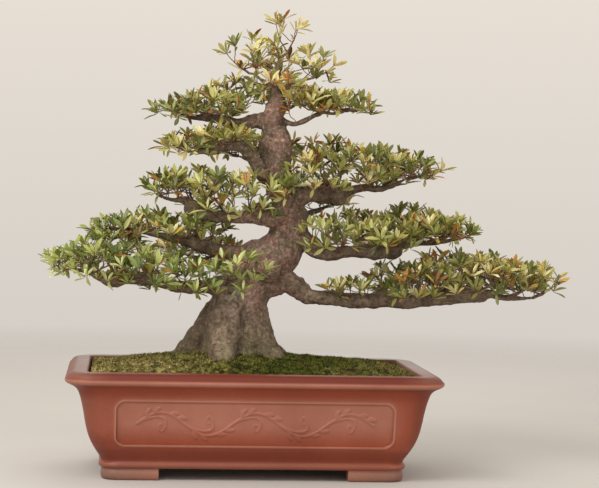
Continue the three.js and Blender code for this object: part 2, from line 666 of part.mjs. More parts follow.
// Where each shoot of a spray ends and the twig that carries it there. The first reaches the
// dome's far edge and starts in the limb; each later one starts from the nearest twig.
function growTwigs([limb, at, middle, halves, shoots], seed) {
  const draw = seeded(seed);
  const base = limbPoint(limb, at);
  const behind = limbPoint(limb, Math.max(0, at - LOOK_BACK));
  const centre = v3(middle);
  const half = v3(halves);
  const root = { point: base, run: 0 };
  const nodes = [];
  const twigs = [];
  for (let n = 0; n < shoots; n += 1) {
    let tip = null;
    if (n === 0) {
      const away = centre.clone().sub(behind).setZ(0).normalize();
      away.z = FIRST_TIP_RISE;
      tip = centre.clone().add(away.multiply(half));
    } else {
      let loneliest = -1;
      for (let c = 0; c < CANDIDATES; c += 1) {
        const place = domePoint(centre, half, draw);
        const nearest = Math.min(...twigs.map((twig) => twig.tip.distanceTo(place)));
        if (nearest > loneliest) {
          loneliest = nearest;
          tip = place;
        }
      }
    }
    let from = root;
    let least = Infinity;
    for (const node of nodes) {
      const cost = node.point.distanceTo(tip) + RUN_COST * node.run;
      if (cost < least) {
        least = cost;
        from = node;
      }
    }
    const bend = from.point.clone().lerp(tip, BEND_ALONG);
    bend.z = mix(from.point.z, tip.z, BEND_RISE);
    const curve = new THREE.QuadraticBezierCurve3(from.point, bend, tip);
    const run = from.run + from.point.distanceTo(tip);
    for (const t of TWIG_JOINTS) {
      nodes.push({ point: curve.getPoint(t), run: mix(from.run, run, t) });
    }
    const axis = tip.clone().sub(centre).divide(half);
    axis.set(axis.x * AXIS_LEAN, axis.y * AXIS_LEAN, 1).normalize();
    const joints = n > 0 && n === shoots - 1 ? LAST_TWIG_JOINTS : TWIG_JOINTS;
    twigs.push({ tip, curve, axis, joints, first: n === 0 });
  }
  return twigs;
}

// Rings up a twig to the underside of its leafy end. headOnly leaves out all but the last part.
function twigRings(twig, twist, grow, headOnly) {
  const { curve, axis, tip } = twig;
  const steps = headOnly ? [HEAD_START] : [0, ...twig.joints];
  const hub = tip.clone().addScaledVector(axis, -HUB_HALF_HEIGHT - grow);
  const centres = [...steps.map((t) => curve.getPoint(t)), hub];
  const last = centres.length - 1;
  const normal = new THREE.Vector3(Math.cos(twist), Math.sin(twist), 0);
  return centres.map((centre, i) => {
    const tangent = i === last ? axis.clone() : centres[i + 1].clone().sub(centre).normalize();
    normal.addScaledVector(tangent, -normal.dot(tangent)).normalize();
    const side = tangent.clone().cross(normal);
    const swell = twig.first ? mix(STEM_SWELL, 1, Math.min(1, i / 2)) : 1;
    const radius = (i === last ? HUB_RADIUS : TWIG_RADIUS * swell) + grow;
    return Array.from({ length: LEAVES_PER_SHOOT }, (_, k) => {
      const angle = (2 * Math.PI * k) / LEAVES_PER_SHOOT;
      return centre.clone()
        .addScaledVector(normal, radius * Math.cos(angle))
        .addScaledVector(side, radius * Math.sin(angle));
    });
  });
}

// One closed mesh: a five-sided twig whose end carries a whorl of arched, pointed leaves, each flat
// on top with a keel under its midrib, round a bud. grow swells it all.
function shootSolid(twig, twist, lift, grow, headOnly) {
  const sides = LEAVES_PER_SHOOT;
  const { axis } = twig;
  const rings = twigRings(twig, twist, grow, headOnly);
  const hubRise = axis.clone().multiplyScalar(2 * (HUB_HALF_HEIGHT + grow));
  rings.push(rings[rings.length - 1].map((p) => p.clone().add(hubRise)));
  const points = rings.flat();
  const index = [];
  const low = (rings.length - 2) * sides;
  const high = low + sides;
  for (let i = 2; i < sides; i += 1) {
    index.push(0, i, i - 1);
  }
  for (let r = 0; r < low; r += sides) {
    for (let k = 0; k < sides; k += 1) {
      const l = (k + 1) % sides;
      index.push(r + k, r + l, r + sides + l);
      index.push(r + k, r + sides + l, r + sides + k);
    }
  }
  const bud = points.length;
  const hubTop = twig.tip.clone().addScaledVector(axis, HUB_HALF_HEIGHT + grow);
  points.push(hubTop.addScaledVector(axis, BUD_HEIGHT));
  for (let k = 0; k < sides; k += 1) {
    const l = (k + 1) % sides;
    index.push(high + k, high + l, bud);
    const corners = [low + k, low + l, high + l, high + k];
    const root = corners.reduce((sum, c) => sum.add(points[c]), new THREE.Vector3());
    root.multiplyScalar(1 / corners.length);
    const across = points[low + l].clone().sub(points[low + k]).normalize();
    const out = across.clone().cross(axis).normalize();
    const along = out.multiplyScalar(Math.cos(lift[k])).addScaledVector(axis, Math.sin(lift[k]));
    const face = along.clone().cross(across).normalize();
    const length = LEAF_LENGTH + grow;
    const halfWidth = LEAF_HALF_WIDTH + grow;
    const middle = root.clone()
      .addScaledVector(along, LEAF_WIDEST * length)
      .addScaledVector(face, LEAF_ARCH * length + grow);
    const keel = points.length;
    points.push(
      middle.clone().addScaledVector(face, -LEAF_KEEL - 2 * grow),
      middle.clone().addScaledVector(across, halfWidth),
      middle.clone().addScaledVector(across, -halfWidth),
      root.clone().addScaledVector(along, length).addScaledVector(face, -LEAF_DROOP * length),
    );
    const [right, left, tip] = [keel + 1, keel + 2, keel + 3];
    index.push(low + k, low + l, keel);
    index.push(low + l, high + l, right, low + l, right, keel);
    index.push(high + l, high + k, left, high + l, left, right);
    index.push(high + k, low + k, keel, high + k, keel, left);
    index.push(keel, right, tip, right, left, tip, left, keel, tip);
  }
  const geometry = new THREE.BufferGeometry();
  geometry.setAttribute(
    "position",
    new THREE.Float32BufferAttribute(points.flatMap((p) => [p.x, p.y, p.z]), 3),
  );
  geometry.setIndex(index);
  return solidFromGeometry(geometry);
}

// Each spray's shoots. A whorl is turned until it clears every other spray and the wood, and a
// shoot that never does is left out.
function spraySolids(trunkGrown) {
  const plans = SPRAYS.map((spray, i) => growTwigs(spray, GROWTH_SEED + i));
  const shootsOf = SPRAYS.map(() => []);
  const placed = [];                // every accepted shoot, with the spray it belongs to
  plans.forEach((twigs, sprayIndex) => {
    twigs.forEach((twig, n) => {
      const draw = seeded(WHORL_SEED + sprayIndex * WHORL_SEED_STEP + n);
      for (let attempt = 0; attempt < ATTEMPTS; attempt += 1) {
        const twist = 2 * Math.PI * draw();
        const lift = Array.from({ length: LEAVES_PER_SHOOT }, () => mix(...LEAF_LIFT, draw()));
        const guard = shootSolid(twig, twist, lift, GAP, false);
        const clear = placed.every((other) => (
          other.spray === sprayIndex || guard.intersect(other.solid).isEmpty()
        ));
        const head = shootSolid(twig, twist, lift, 0, true);
        if (clear && head.intersect(trunkGrown).isEmpty()) {
          const solid = shootSolid(twig, twist, lift, 0, false);
          shootsOf[sprayIndex].push(solid);
          placed.push({ spray: sprayIndex, solid });
          break;
        }
      }
    });
  });
  return shootsOf;
}

// ---------------------------------------------------------------- soil and moss

function moundHeight(x, y) {
  const dx = (x - TREE_FOOT[0]) / MOUND_SPREAD[0];
  const dy = (y - TREE_FOOT[1]) / MOUND_SPREAD[1];
  const across = Math.max(0, 1 - (x / BED_HALF_LENGTH) ** 4);
  const along = Math.max(0, 1 - (y / innerHalfDepth(BED_HALF_LENGTH)) ** 4);
  return CROWN_HEIGHT * across * along + MOUND_HEIGHT * Math.exp(-(dx * dx + dy * dy));
}

const MOUND_RINGS = [1, 0.7, 0.36];
const WALL_SPANS = [3, 2];

const soilSection = (halfLength, z) => (
  roundedRectangle(
    halfLength - GAP, innerHalfDepth(halfLength) - GAP, INNER_CORNER - GAP, z, WALL_SPANS,
  )
);

// Rings from the pot's wall in to the tree's foot, on the mounded level raised by lift.
function moundRings(lift) {
  const edge = soilSection(BED_HALF_LENGTH, 0);
  const rings = MOUND_RINGS.map((reach) => edge.map((p) => {
    const x = mix(TREE_FOOT[0], p.x, reach);
    const y = mix(TREE_FOOT[1], p.y, reach);
    return new THREE.Vector3(x, y, SOIL_EDGE + moundHeight(x, y) + lift);
  }));
  rings.push([new THREE.Vector3(...TREE_FOOT, SOIL_EDGE + moundHeight(...TREE_FOOT) + lift)]);
  return rings;
}

function soilSolid(trunkGrown) {
  const sides = INNER_PROFILE.filter(([, z]) => z < SOIL_EDGE).reverse();
  const rings = sides.map(([x, z], i) => soilSection(x, i === 0 ? z + GAP : z));
  let soil = solidFromGeometry(loft([...rings, ...moundRings(0)]));
  const half = SCREEN_SIZE / 2 + GAP;
  for (const sx of [-1, 1]) {
    const x = sx * DRAIN_X;
    const top = FLOOR_TOP + SCREEN_THICKNESS + 2 * GAP;
    soil = soil.subtract(boxSolid([x - half, -half, FLOOR_TOP - 5], [x + half, half, top]));
  }
  return mainBody(soil.subtract(trunkGrown));
}

function mossSolid(trunkGrown) {
  const under = moundRings(GAP).reverse();
  const over = moundRings(MOSS_THICKNESS);
  const moss = solidFromGeometry(loft([...under, ...over], MOUND_RINGS.length));
  return mainBody(moss.subtract(trunkGrown));
}

// ---------------------------------------------------------------- materials and assembly

const material = (color, roughness) => (
  new THREE.MeshStandardMaterial({ color, roughness, metalness: 0 })
);
const CLAY = material(0x9a4a34, 0.5);
const BARK = material(0x7a6a5e, 0.9);
const MOSS = material(0x66702c, 1);
const SOIL = material(0x4a3a2c, 1);
const SCREEN = material(0x2c2c2c, 0.6);
const LEAF = material(0x5d7a2c, 0.55);

const group = new THREE.Group();

function addPiece(name, solid, finish) {
  const mesh = new THREE.Mesh(geometryFromSolid(solid), finish);
  mesh.name = name;
  group.add(mesh);
}

const trunk = trunkSolid(0);
const trunkGrown = trunkSolid(GAP);

addPiece("pot", potSolid(), CLAY);
addPiece("drain_screen_left", drainScreen(-1), SCREEN);
addPiece("drain_screen_right", drainScreen(1), SCREEN);
addPiece("soil", soilSolid(trunkGrown), SOIL);
addPiece("moss", mossSolid(trunkGrown), MOSS);
addPiece("trunk", trunk, BARK);
spraySolids(trunkGrown).forEach((shoots, i) => {
  const solid = mainBody(union(shoots).subtract(trunkGrown));
  addPiece(`spray_${String(i + 1).padStart(2, "0")}`, solid, LEAF);
});

const bounds = new THREE.Box3().setFromObject(group);
const middle = bounds.getCenter(new THREE.Vector3());
group.position.set(-middle.x, -middle.y, -bounds.min.z);
group.updateMatrixWorld(true);

export default group;
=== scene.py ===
# Satsuki azalea bonsai in its clay pot: the looks of every surface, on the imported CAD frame.
# Lengths in this script are millimetres about the middle of the pot's footprint, at the level of
# its feet, with x to the right, y away from the viewer and z up. place() takes them to the frame.

import itertools
import json
import math

import bpy
import numpy as np
from mathutils import Matrix, Vector

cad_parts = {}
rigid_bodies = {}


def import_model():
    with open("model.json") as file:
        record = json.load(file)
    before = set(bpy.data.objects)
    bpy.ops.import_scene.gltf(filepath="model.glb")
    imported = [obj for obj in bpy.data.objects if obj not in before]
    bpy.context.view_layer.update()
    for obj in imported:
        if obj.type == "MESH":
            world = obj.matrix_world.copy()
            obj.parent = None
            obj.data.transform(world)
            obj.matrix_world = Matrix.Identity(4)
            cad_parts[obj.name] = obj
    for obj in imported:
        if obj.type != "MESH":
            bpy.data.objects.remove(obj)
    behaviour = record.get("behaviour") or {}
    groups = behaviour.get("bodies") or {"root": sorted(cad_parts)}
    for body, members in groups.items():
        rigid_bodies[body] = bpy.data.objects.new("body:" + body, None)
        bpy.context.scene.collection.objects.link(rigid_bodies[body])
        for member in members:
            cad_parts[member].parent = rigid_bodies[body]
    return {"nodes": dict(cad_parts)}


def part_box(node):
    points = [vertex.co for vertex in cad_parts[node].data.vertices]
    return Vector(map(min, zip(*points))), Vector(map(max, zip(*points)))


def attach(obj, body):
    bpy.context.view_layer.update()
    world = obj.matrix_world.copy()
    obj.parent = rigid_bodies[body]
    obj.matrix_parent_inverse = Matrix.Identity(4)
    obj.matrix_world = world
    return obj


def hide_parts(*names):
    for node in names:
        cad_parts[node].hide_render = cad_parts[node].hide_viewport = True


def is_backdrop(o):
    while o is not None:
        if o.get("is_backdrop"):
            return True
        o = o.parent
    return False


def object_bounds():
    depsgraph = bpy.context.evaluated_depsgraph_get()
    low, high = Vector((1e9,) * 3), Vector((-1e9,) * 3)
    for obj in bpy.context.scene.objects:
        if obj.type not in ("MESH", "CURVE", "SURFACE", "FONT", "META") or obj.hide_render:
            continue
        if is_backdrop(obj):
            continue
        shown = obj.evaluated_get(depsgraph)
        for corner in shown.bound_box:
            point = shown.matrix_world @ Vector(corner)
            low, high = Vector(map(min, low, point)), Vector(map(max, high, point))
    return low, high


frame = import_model()
cad_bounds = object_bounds()

POT_LOW, POT_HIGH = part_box("pot")
POT_MIDDLE = np.array([(POT_LOW.x + POT_HIGH.x) / 2, (POT_LOW.y + POT_HIGH.y) / 2, 0.0])
UP = np.array([0.0, 0.0, 1.0])


def place(points):
    """Points in millimetres about the pot's middle, as metres in the frame."""
    return np.asarray(points, float) / 1000 + POT_MIDDLE


BOX_LOW = (np.array(cad_bounds[0]) - POT_MIDDLE) * 1000
BOX_HIGH = (np.array(cad_bounds[1]) - POT_MIDDLE) * 1000

# ---------------------------------------------------------------- camera

CAMERA_PLACE = (-207.83, -2942.19, 427.03)
CAMERA_YAW = 5.46  # degrees, to the right of straight ahead
CAMERA_PITCH = 1.39  # down
CAMERA_ROLL = 1.32
CAMERA_LENS = 113.03
SENSOR = 36.0
VIEW_END = 50  # metres


def make_camera():
    yaw, pitch, roll = (math.radians(a) for a in (CAMERA_YAW, CAMERA_PITCH, CAMERA_ROLL))
    turn = Matrix.Rotation(-yaw, 4, "Z") @ Matrix.Rotation(math.pi / 2 - pitch, 4, "X")
    data = bpy.data.cameras.new("camera")
    data.sensor_width = SENSOR
    data.lens = CAMERA_LENS
    data.clip_end = VIEW_END
    camera = bpy.data.objects.new("camera", data)
    bpy.context.scene.collection.objects.link(camera)
    shift = Matrix.Translation(place(CAMERA_PLACE).tolist())
    camera.matrix_world = shift @ turn @ Matrix.Rotation(roll, 4, "Z")
    bpy.context.scene.camera = camera


make_camera()

# ---------------------------------------------------------------- helpers


def seeded(seed):
    """The same stream of draws for the same seed, each from 0 up to 1."""
    mask = 0xFFFFFFFF
    state = seed & mask

    def draw():
        nonlocal state
        state = (state + 0x6D2B79F5) & mask
        t = ((state ^ (state >> 15)) * (1 | state)) & mask
        t = ((t + (((t ^ (t >> 7)) * (61 | t)) & mask)) & mask) ^ t
        return ((t ^ (t >> 14)) & mask) / 4294967296

    return draw


def mix(a, b, t):
    return a + (b - a) * t


def unit(v):
    return v / max(np.linalg.norm(v), 1e-12)


def smooth_step(low, high, value):
    """0 up to low, 1 from high, and a soft rise between. Low may also be above high."""
    t = np.clip((value - low) / (high - low), 0, 1)
    return t * t * (3 - 2 * t)


def band(value, start, full, fade, end):
    """1 from full to fade, with a soft rise from start and a soft fall to end."""
    return smooth_step(start, full, value) * smooth_step(end, fade, value)


def spot_share(across, up, spot):
    """1 in the middle of a soft spot, given as its middle's two coordinates and half sizes."""
    return np.exp(-(((across - spot[0]) / spot[2]) ** 2) - ((up - spot[1]) / spot[3]) ** 2)


def lumps(points, size, seed):
    """Smooth noise from -1 to 1 at each point, in lumps about size across."""
    spots = np.asarray(points, float) / size
    cell = np.floor(spots).astype(np.int64)
    part = spots - cell
    part = part * part * (3 - 2 * part)
    total = np.zeros(len(spots))
    for corner in itertools.product((0, 1), repeat=3):
        c = cell + np.array(corner)
        h = (c[:, 0] * 73856093) ^ (c[:, 1] * 19349663) ^ (c[:, 2] * 83492791)
        h = (h ^ (seed * 40503)) & 0xFFFFFFFF
        h = ((h ^ (h >> 13)) * 1274126177) & 0xFFFFFFFF
        value = ((h ^ (h >> 16)) & 0xFFFF) / 32767.5 - 1
        total += value * np.prod(np.where(corner, part, 1 - part), axis=1)
    return total


def layered_lumps(points, size, seed, layers=3):
    """Noise in lumps of several sizes, each layer half as big and half as strong."""
    return sum(lumps(points, size / 2**k, seed + 17 * k) / 2**k for k in range(layers))


def smooth_rows(rows, spacing):
    """Rows of numbers whose first three are a point, with a smooth curve drawn through them."""
    rows = np.asarray(rows, float)
    padded = np.vstack([2 * rows[0] - rows[1], rows, 2 * rows[-1] - rows[-2]])
    out = []
    for i in range(len(rows) - 1):
        a, b, c, d = padded[i : i + 4]
        steps = max(1, math.ceil(np.linalg.norm((c - b)[:3]) / spacing))
        for k in range(steps):
            t = k / steps
            out.append(
                0.5 * (2 * b + (c - a) * t + (2 * a - 5 * b + 4 * c - d) * t**2
                       + (3 * b - a - 3 * c + d) * t**3)
            )
    out.append(rows[-1])
    return np.array(out)


def grid_faces(rows, columns, closed=True):
    """Quads between rows of points. A closed row joins up with its own start."""
    r, c = np.meshgrid(np.arange(rows - 1), np.arange(columns if closed else columns - 1), indexing="ij")
    here = r * columns + c
    beside = r * columns + (c + 1) % columns
    return np.stack([here, beside, beside + columns, here + columns], -1).reshape(-1, 4).tolist()


def closed_shell(rings):
    """A closed body's points and faces: quads between its rings, and a cap on each end."""
    columns = len(rings[0])
    last = (len(rings) - 1) * columns
    caps = [list(range(columns))[::-1], list(range(last, last + columns))]
    return np.vstack(rings), grid_faces(len(rings), columns) + caps


def new_piece(name, points, faces, materials):
    """A mesh object in the frame from points in millimetres."""
    mesh = bpy.data.meshes.new(name)
    mesh.from_pydata(place(points).tolist(), [], faces)
    mesh.update()
    for material in materials:
        mesh.materials.append(material)
    piece = bpy.data.objects.new(name, mesh)
    bpy.context.scene.collection.objects.link(piece)
    return piece


def with_modifiers(piece):
    """Applies the piece's modifiers, in order."""
    graph = bpy.context.evaluated_depsgraph_get()
    mesh = bpy.data.meshes.new_from_object(piece.evaluated_get(graph))
    piece.modifiers.clear()
    old = piece.data
    piece.data = mesh
    bpy.data.meshes.remove(old)


def points_of(piece):
    """A piece's points in millimetres about the pot's middle."""
    co = np.empty(len(piece.data.vertices) * 3)
    piece.data.vertices.foreach_get("co", co)
    return (co.reshape(-1, 3) - POT_MIDDLE) * 1000


def move_points(piece, points):
    piece.data.vertices.foreach_set("co", place(points).ravel())
    piece.data.update()


def paint(piece, name, values):
    """Keeps one number for each point of the piece, for its material to read."""
    attribute = piece.data.attributes.new(name, "FLOAT", "POINT")
    attribute.data.foreach_set("value", np.asarray(values, np.float32))


def shade(piece, sharp_from=180):
    """Smooth shading, with edges above an angle in degrees kept sharp."""
    piece.data.polygons.foreach_set("use_smooth", [True] * len(piece.data.polygons))
    if sharp_from < 180:
        piece.data.set_sharp_from_angle(angle=math.radians(sharp_from))


def join(pieces):
    """Joins the pieces into the first."""
    with bpy.context.temp_override(
        active_object=pieces[0], selected_editable_objects=pieces, selected_objects=pieces
    ):
        bpy.ops.object.join()


def gather(shells):
    """Several shells of points and faces as one."""
    points, faces, start = [], [], 0
    for shell_points, shell_faces in shells:
        points.append(shell_points)
        faces.extend([[i + start for i in face] for face in shell_faces])
        start += len(shell_points)
    return np.vstack(points), faces


# ---------------------------------------------------------------- materials


def colour(red, green, blue):
    """A colour as it looks on a screen, 0 to 255, as the renderer's own numbers."""
    def linear(v):
        v /= 255
        return v / 12.92 if v <= 0.04045 else ((v + 0.055) / 1.055) ** 2.4

    return (linear(red), linear(green), linear(blue), 1)


class Nodes:
    """A node tree, built by short calls. Colours are given as they look on a screen."""

    def __init__(self, tree):
        self.tree = tree

    def node(self, kind, settings=None, **inputs):
        made = self.tree.nodes.new(kind)
        for key, value in (settings or {}).items():
            setattr(made, key, value)
        for key, value in inputs.items():
            self.feed(made.inputs[key.replace("_", " ")], value)
        return made

    def feed(self, socket, value):
        if isinstance(value, bpy.types.NodeSocket):
            self.tree.links.new(value, socket)
        else:
            socket.default_value = value

    def ramp(self, factor, stops):
        """Colours against a factor from 0 to 1: stops are (place, colour)."""
        made = self.node("ShaderNodeValToRGB", Fac=factor)
        elements = made.color_ramp.elements
        while len(elements) < len(stops):
            elements.new(0.5)
        for element, (spot, shown) in zip(elements, stops):
            element.position = spot
            element.color = colour(*shown)
        return made.outputs["Color"]

    def range(self, value, low, high, to_low=0.0, to_high=1.0):
        made = self.node("ShaderNodeMapRange", Value=value)
        ends = {"From Min": low, "From Max": high, "To Min": to_low, "To Max": to_high}
        for key, number in ends.items():
            made.inputs[key].default_value = number
        return made.outputs["Result"]


class Shader(Nodes):
    """A material's node tree."""

    def __init__(self, name):
        self.material = bpy.data.materials.new(name)
        self.material.use_nodes = True
        super().__init__(self.material.node_tree)
        self.surface = self.tree.nodes["Principled BSDF"]
        self.output = self.tree.nodes["Material Output"]

    def where(self):
        return self.node("ShaderNodeTexCoord").outputs["Object"]

    def attribute(self, name, output="Fac"):
        return self.node("ShaderNodeAttribute", {"attribute_name": name}).outputs[output]

    def edges(self):
        """Over 0.5 where the surface stands out and under 0.5 where it is sunk."""
        return self.node("ShaderNodeNewGeometry").outputs["Pointiness"]

    def noise(self, vector, scale, detail=4.0, roughness=0.55, distortion=0.0):
        made = self.node(
            "ShaderNodeTexNoise", Vector=vector, Scale=scale, Detail=detail,
            Roughness=roughness, Distortion=distortion,
        )
        return made.outputs["Fac"]

    def math(self, operation, a, b):
        made = self.node("ShaderNodeMath", {"operation": operation})
        self.feed(made.inputs[0], a)
        self.feed(made.inputs[1], b)
        return made.outputs[0]

    def total(self, *parts):
        """The sum of several values, each times its share."""
        products = [self.math("MULTIPLY", value, share) for value, share in parts]
        made = products[0]
        for product in products[1:]:
            made = self.math("ADD", made, product)
        return made

    def patches(self, name, noise, low, high):
        """The attribute's own value, in the patches where the noise is high."""
        return self.math("MULTIPLY", self.range(noise, low, high), self.attribute(name))

    def blend(self, factor, a, b, kind="MIX"):
        made = self.node("ShaderNodeMix", {"data_type": "RGBA", "blend_type": kind})
        for socket, value in zip((0, 6, 7), (factor, a, b)):
            self.feed(made.inputs[socket], value)
        return made.outputs[2]

    def over(self, factor, base, *shown):
        """The base with one colour over it."""
        return self.blend(factor, base, colour(*shown))

    def bump(self, height, strength, distance):
        made = self.node("ShaderNodeBump", Height=height, Strength=strength, Distance=distance)
        self.feed(self.surface.inputs["Normal"], made.outputs["Normal"])

    def finish(self, **inputs):
        for key, value in inputs.items():
            self.feed(self.surface.inputs[key.replace("_", " ")], value)
        return self.material

    def share_surface(self, factor, other):
        """Shows another shader by the factor, and the principled one by the rest."""
        both = self.node("ShaderNodeMixShader", Fac=factor)
        self.feed(both.inputs[1], self.surface.outputs["BSDF"])
        self.feed(both.inputs[2], other.outputs["BSDF"])
        self.feed(self.output.inputs["Surface"], both.outputs["Shader"])
        return self.material


def clay_material():
    """Unglazed red-brown clay: paler where it is worn, with painted sheen and highlights, redder painted
    shade under the lip, darker painted shade round the shoulder and in sunk places, and dusty feet.
    """
    s = Shader("clay")
    where = s.where()
    cloudy = s.noise(where, 9.0, 5.0, 0.6)
    fine = s.noise(where, 420.0, 3.0, 0.6)
    base = s.ramp(cloudy, [(0.3, (124, 54, 32)), (0.55, (138, 64, 39)), (0.8, (150, 74, 47))])
    speck = s.range(fine, 0.35, 0.65, 0.92, 1.06)
    specks = s.node("ShaderNodeCombineColor", Red=speck, Green=speck, Blue=speck).outputs["Color"]
    base = s.blend(1.0, base, specks, "MULTIPLY")
    # Redder under the lip and darker round the shoulder, the ends and the lower wall is painted shade;
    # the greyer tone is dusty clay on the feet and painted shade on the lip's top and shoulder.
    for mark, shown in (("deep", (132, 50, 22)), ("painted_clay_shade", (94, 30, 10)), ("dust_and_shade", (108, 86, 74))):
        base = s.over(s.attribute(mark), base, *shown)
    # A paler, greyer painted sheen on the panels and feet, and painted highlights on the bead, the frame
    # and the left end.
    painted_sheen = s.math("MULTIPLY", s.attribute("painted_sheen"), s.range(cloudy, 0.2, 0.75, 0.6, 1.2))
    base = s.over(painted_sheen, base, 178, 130, 112)
    base = s.over(s.range(s.edges(), 0.52, 0.6, 0.0, 0.4), base, 166, 106, 84)
    # Darker in sunk places: painted shade.
    base = s.over(s.range(s.edges(), 0.4, 0.49, 0.55, 0.0), base, 92, 40, 26)
    s.bump(fine, 0.12, 0.0004)
    rough = s.total((s.range(cloudy, 0.3, 0.8, 0.42, 0.52), 1.0), (s.attribute("painted_clay_shade"), 0.22))
    return s.finish(
        Base_Color=base, Roughness=rough, Specular_IOR_Level=0.4, Coat_Weight=0.04, Coat_Roughness=0.3
    )


def bark_material():
    """Grey-brown bark, speckled all over, pinker where it has newly peeled, with painted shade in its
    hollows, between the roots, up in the crown and on the right limbs.
    """
    s = Shader("bark")
    where = s.where()
    grain = s.node("ShaderNodeMapping", Vector=s.attribute("grain", "Vector"), Scale=(1, 1, 0.5))
    streaks = s.noise(grain.outputs["Vector"], 80.0, 5.0, 0.65, 0.6)
    speckle = s.noise(where, 210.0, 5.0, 0.68, 0.3)
    mottle = s.noise(where, 70.0, 4.0, 0.6)
    mixed = s.total((streaks, 0.4), (speckle, 0.3), (mottle, 0.3))
    base = s.ramp(mixed, [
        (0.33, (53, 43, 34)), (0.43, (87, 73, 59)), (0.52, (117, 101, 83)), (0.6, (145, 128, 107)),
        (0.7, (177, 162, 139)),
    ])
    pink = s.patches("pink", s.noise(where, 42.0, 4.0, 0.6, 0.5), 0.43, 0.57)
    base = s.blend(pink, base, s.ramp(speckle, [(0.3, (110, 78, 68)), (0.7, (184, 144, 130))]))
    green = s.patches("algae", s.noise(where, 16.0, 3.0, 0.55), 0.36, 0.56)
    base = s.blend(green, base, s.ramp(speckle, [(0.3, (66, 64, 38)), (0.7, (126, 124, 88))]))
    base = s.over(s.patches("pale", mottle, 0.4, 0.6), base, 186, 178, 160)
    # Darker: painted shade on the roots, the upper tree and the right limbs.
    base = s.over(s.attribute("painted_bark_shade"), base, 84, 68, 52)
    fleck_share = s.range(s.attribute("pink"), 0, 1, 0.15, 0.6)
    flecks = s.math("MULTIPLY", s.range(speckle, 0.56, 0.66), fleck_share)
    base = s.over(flecks, base, 196, 172, 158)
    base = s.over(s.range(speckle, 0.34, 0.46, 0.7, 0.0), base, 66, 54, 45)
    # Darker in the hollows: painted shade.
    base = s.over(s.range(s.edges(), 0.4, 0.5, 0.75, 0.0), base, 44, 35, 29)
    s.bump(mixed, 0.9, 0.0036)
    return s.finish(Base_Color=base, Roughness=0.85, Specular_IOR_Level=0.3)


def twig_material():
    s = Shader("twig")
    tone = s.noise(s.where(), 180.0, 4.0, 0.6)
    base = s.ramp(tone, [(0.3, (70, 50, 41)), (0.55, (118, 92, 76)), (0.8, (148, 121, 102))])
    s.bump(tone, 0.5, 0.0006)
    return s.finish(Base_Color=base, Roughness=0.8, Specular_IOR_Level=0.3)


LUSH_TINT = (0.8, 0.97, 0.84, 1)  # what the green limbs' leaves let through
LEAF_GLOW = 0.36  # share of the light that shines through a leaf


def leaf_material():
    """Autumn foliage: each leaf's age sets its colour, and its midrib and base are paler."""
    s = Shader("leaf")
    base = s.ramp(s.attribute("age"), [
        (0.0, (100, 111, 53)), (0.22, (151, 159, 82)), (0.4, (187, 183, 99)), (0.56, (212, 205, 126)),
        (0.74, (237, 227, 169)), (0.82, (234, 200, 98)), (0.9, (200, 132, 62)), (1.0, (118, 68, 46)),
    ])
    base = s.blend(s.attribute("lush"), base, LUSH_TINT, "MULTIPLY")
    blotch = s.noise(s.where(), 160.0, 3.0, 0.6)
    base = s.over(s.range(blotch, 0.48, 0.72, 0.0, 0.25), base, 176, 152, 78)
    base = s.over(s.range(s.attribute("across"), 0.0, 0.16, 0.45, 0.0), base, 206, 208, 146)
    base = s.over(s.range(s.attribute("along"), 0.0, 0.22, 0.4, 0.0), base, 164, 128, 78)
    s.bump(blotch, 0.25, 0.0004)
    s.finish(Base_Color=base, Roughness=0.3, Specular_IOR_Level=0.8)
    return s.share_surface(LEAF_GLOW, s.node("ShaderNodeBsdfTranslucent", Color=base))


def bud_material():
    s = Shader("bud")
    base = s.ramp(s.noise(s.where(), 300.0, 2.0), [(0.3, (112, 66, 36)), (0.7, (168, 118, 58))])
    return s.finish(Base_Color=base, Roughness=0.6, Specular_IOR_Level=0.4)


def moss_material():
    """Living moss: each shoot its own tone, deep green in the shade and straw-olive where dry."""
    s = Shader("moss")
    where = s.where()
    clumps = s.range(s.noise(where, 110.0, 3.0, 0.7), 0.32, 0.68, -0.2, 0.68)
    fine = s.noise(where, 600.0, 3.0, 0.7)
    tone = s.total((s.attribute("tone"), 0.5), (clumps, 1.0), (s.range(fine, 0.3, 0.7, -0.1, 0.1), 1.0))
    lush, dry = (
        s.ramp(tone, list(zip((0.15, 0.4, 0.62, 0.85), tones)))
        for tones in (
            ((22, 27, 4), (52, 59, 8), (81, 87, 18), (114, 112, 44)),
            ((58, 50, 24), (110, 101, 52), (150, 139, 82), (188, 176, 122)),
        )
    )
    base = s.blend(s.attribute("dry"), lush, dry)
    dead = s.noise(where, 34.0, 4.0, 0.65)
    base = s.over(s.range(dead, 0.56, 0.66, 0.0, 0.5), base, 112, 80, 46)
    s.bump(fine, 0.5, 0.0008)
    return s.finish(Base_Color=base, Roughness=0.95, Specular_IOR_Level=0.2)


def soil_material():
    s = Shader("soil")
    grains = s.node("ShaderNodeTexVoronoi", Vector=s.where(), Scale=260.0).outputs["Distance"]
    base = s.blend(s.range(grains, 0.1, 0.6), colour(74, 56, 42), colour(28, 20, 15))
    s.bump(grains, 0.9, 0.002)
    return s.finish(Base_Color=base, Roughness=1.0, Specular_IOR_Level=0.2)


def screen_material():
    s = Shader("screen")
    scuffs = s.noise(s.where(), 240.0, 3.0)
    base = s.ramp(scuffs, [(0.3, (30, 30, 30)), (0.8, (48, 48, 47))])
    s.bump(scuffs, 0.2, 0.0003)
    return s.finish(Base_Color=base, Roughness=0.6)


CLAY = clay_material()
BARK = bark_material()
TWIG = twig_material()
LEAF = leaf_material()
BUD = bud_material()
MOSS = moss_material()
SOIL = soil_material()
SCREEN = screen_material()

# ---------------------------------------------------------------- pot

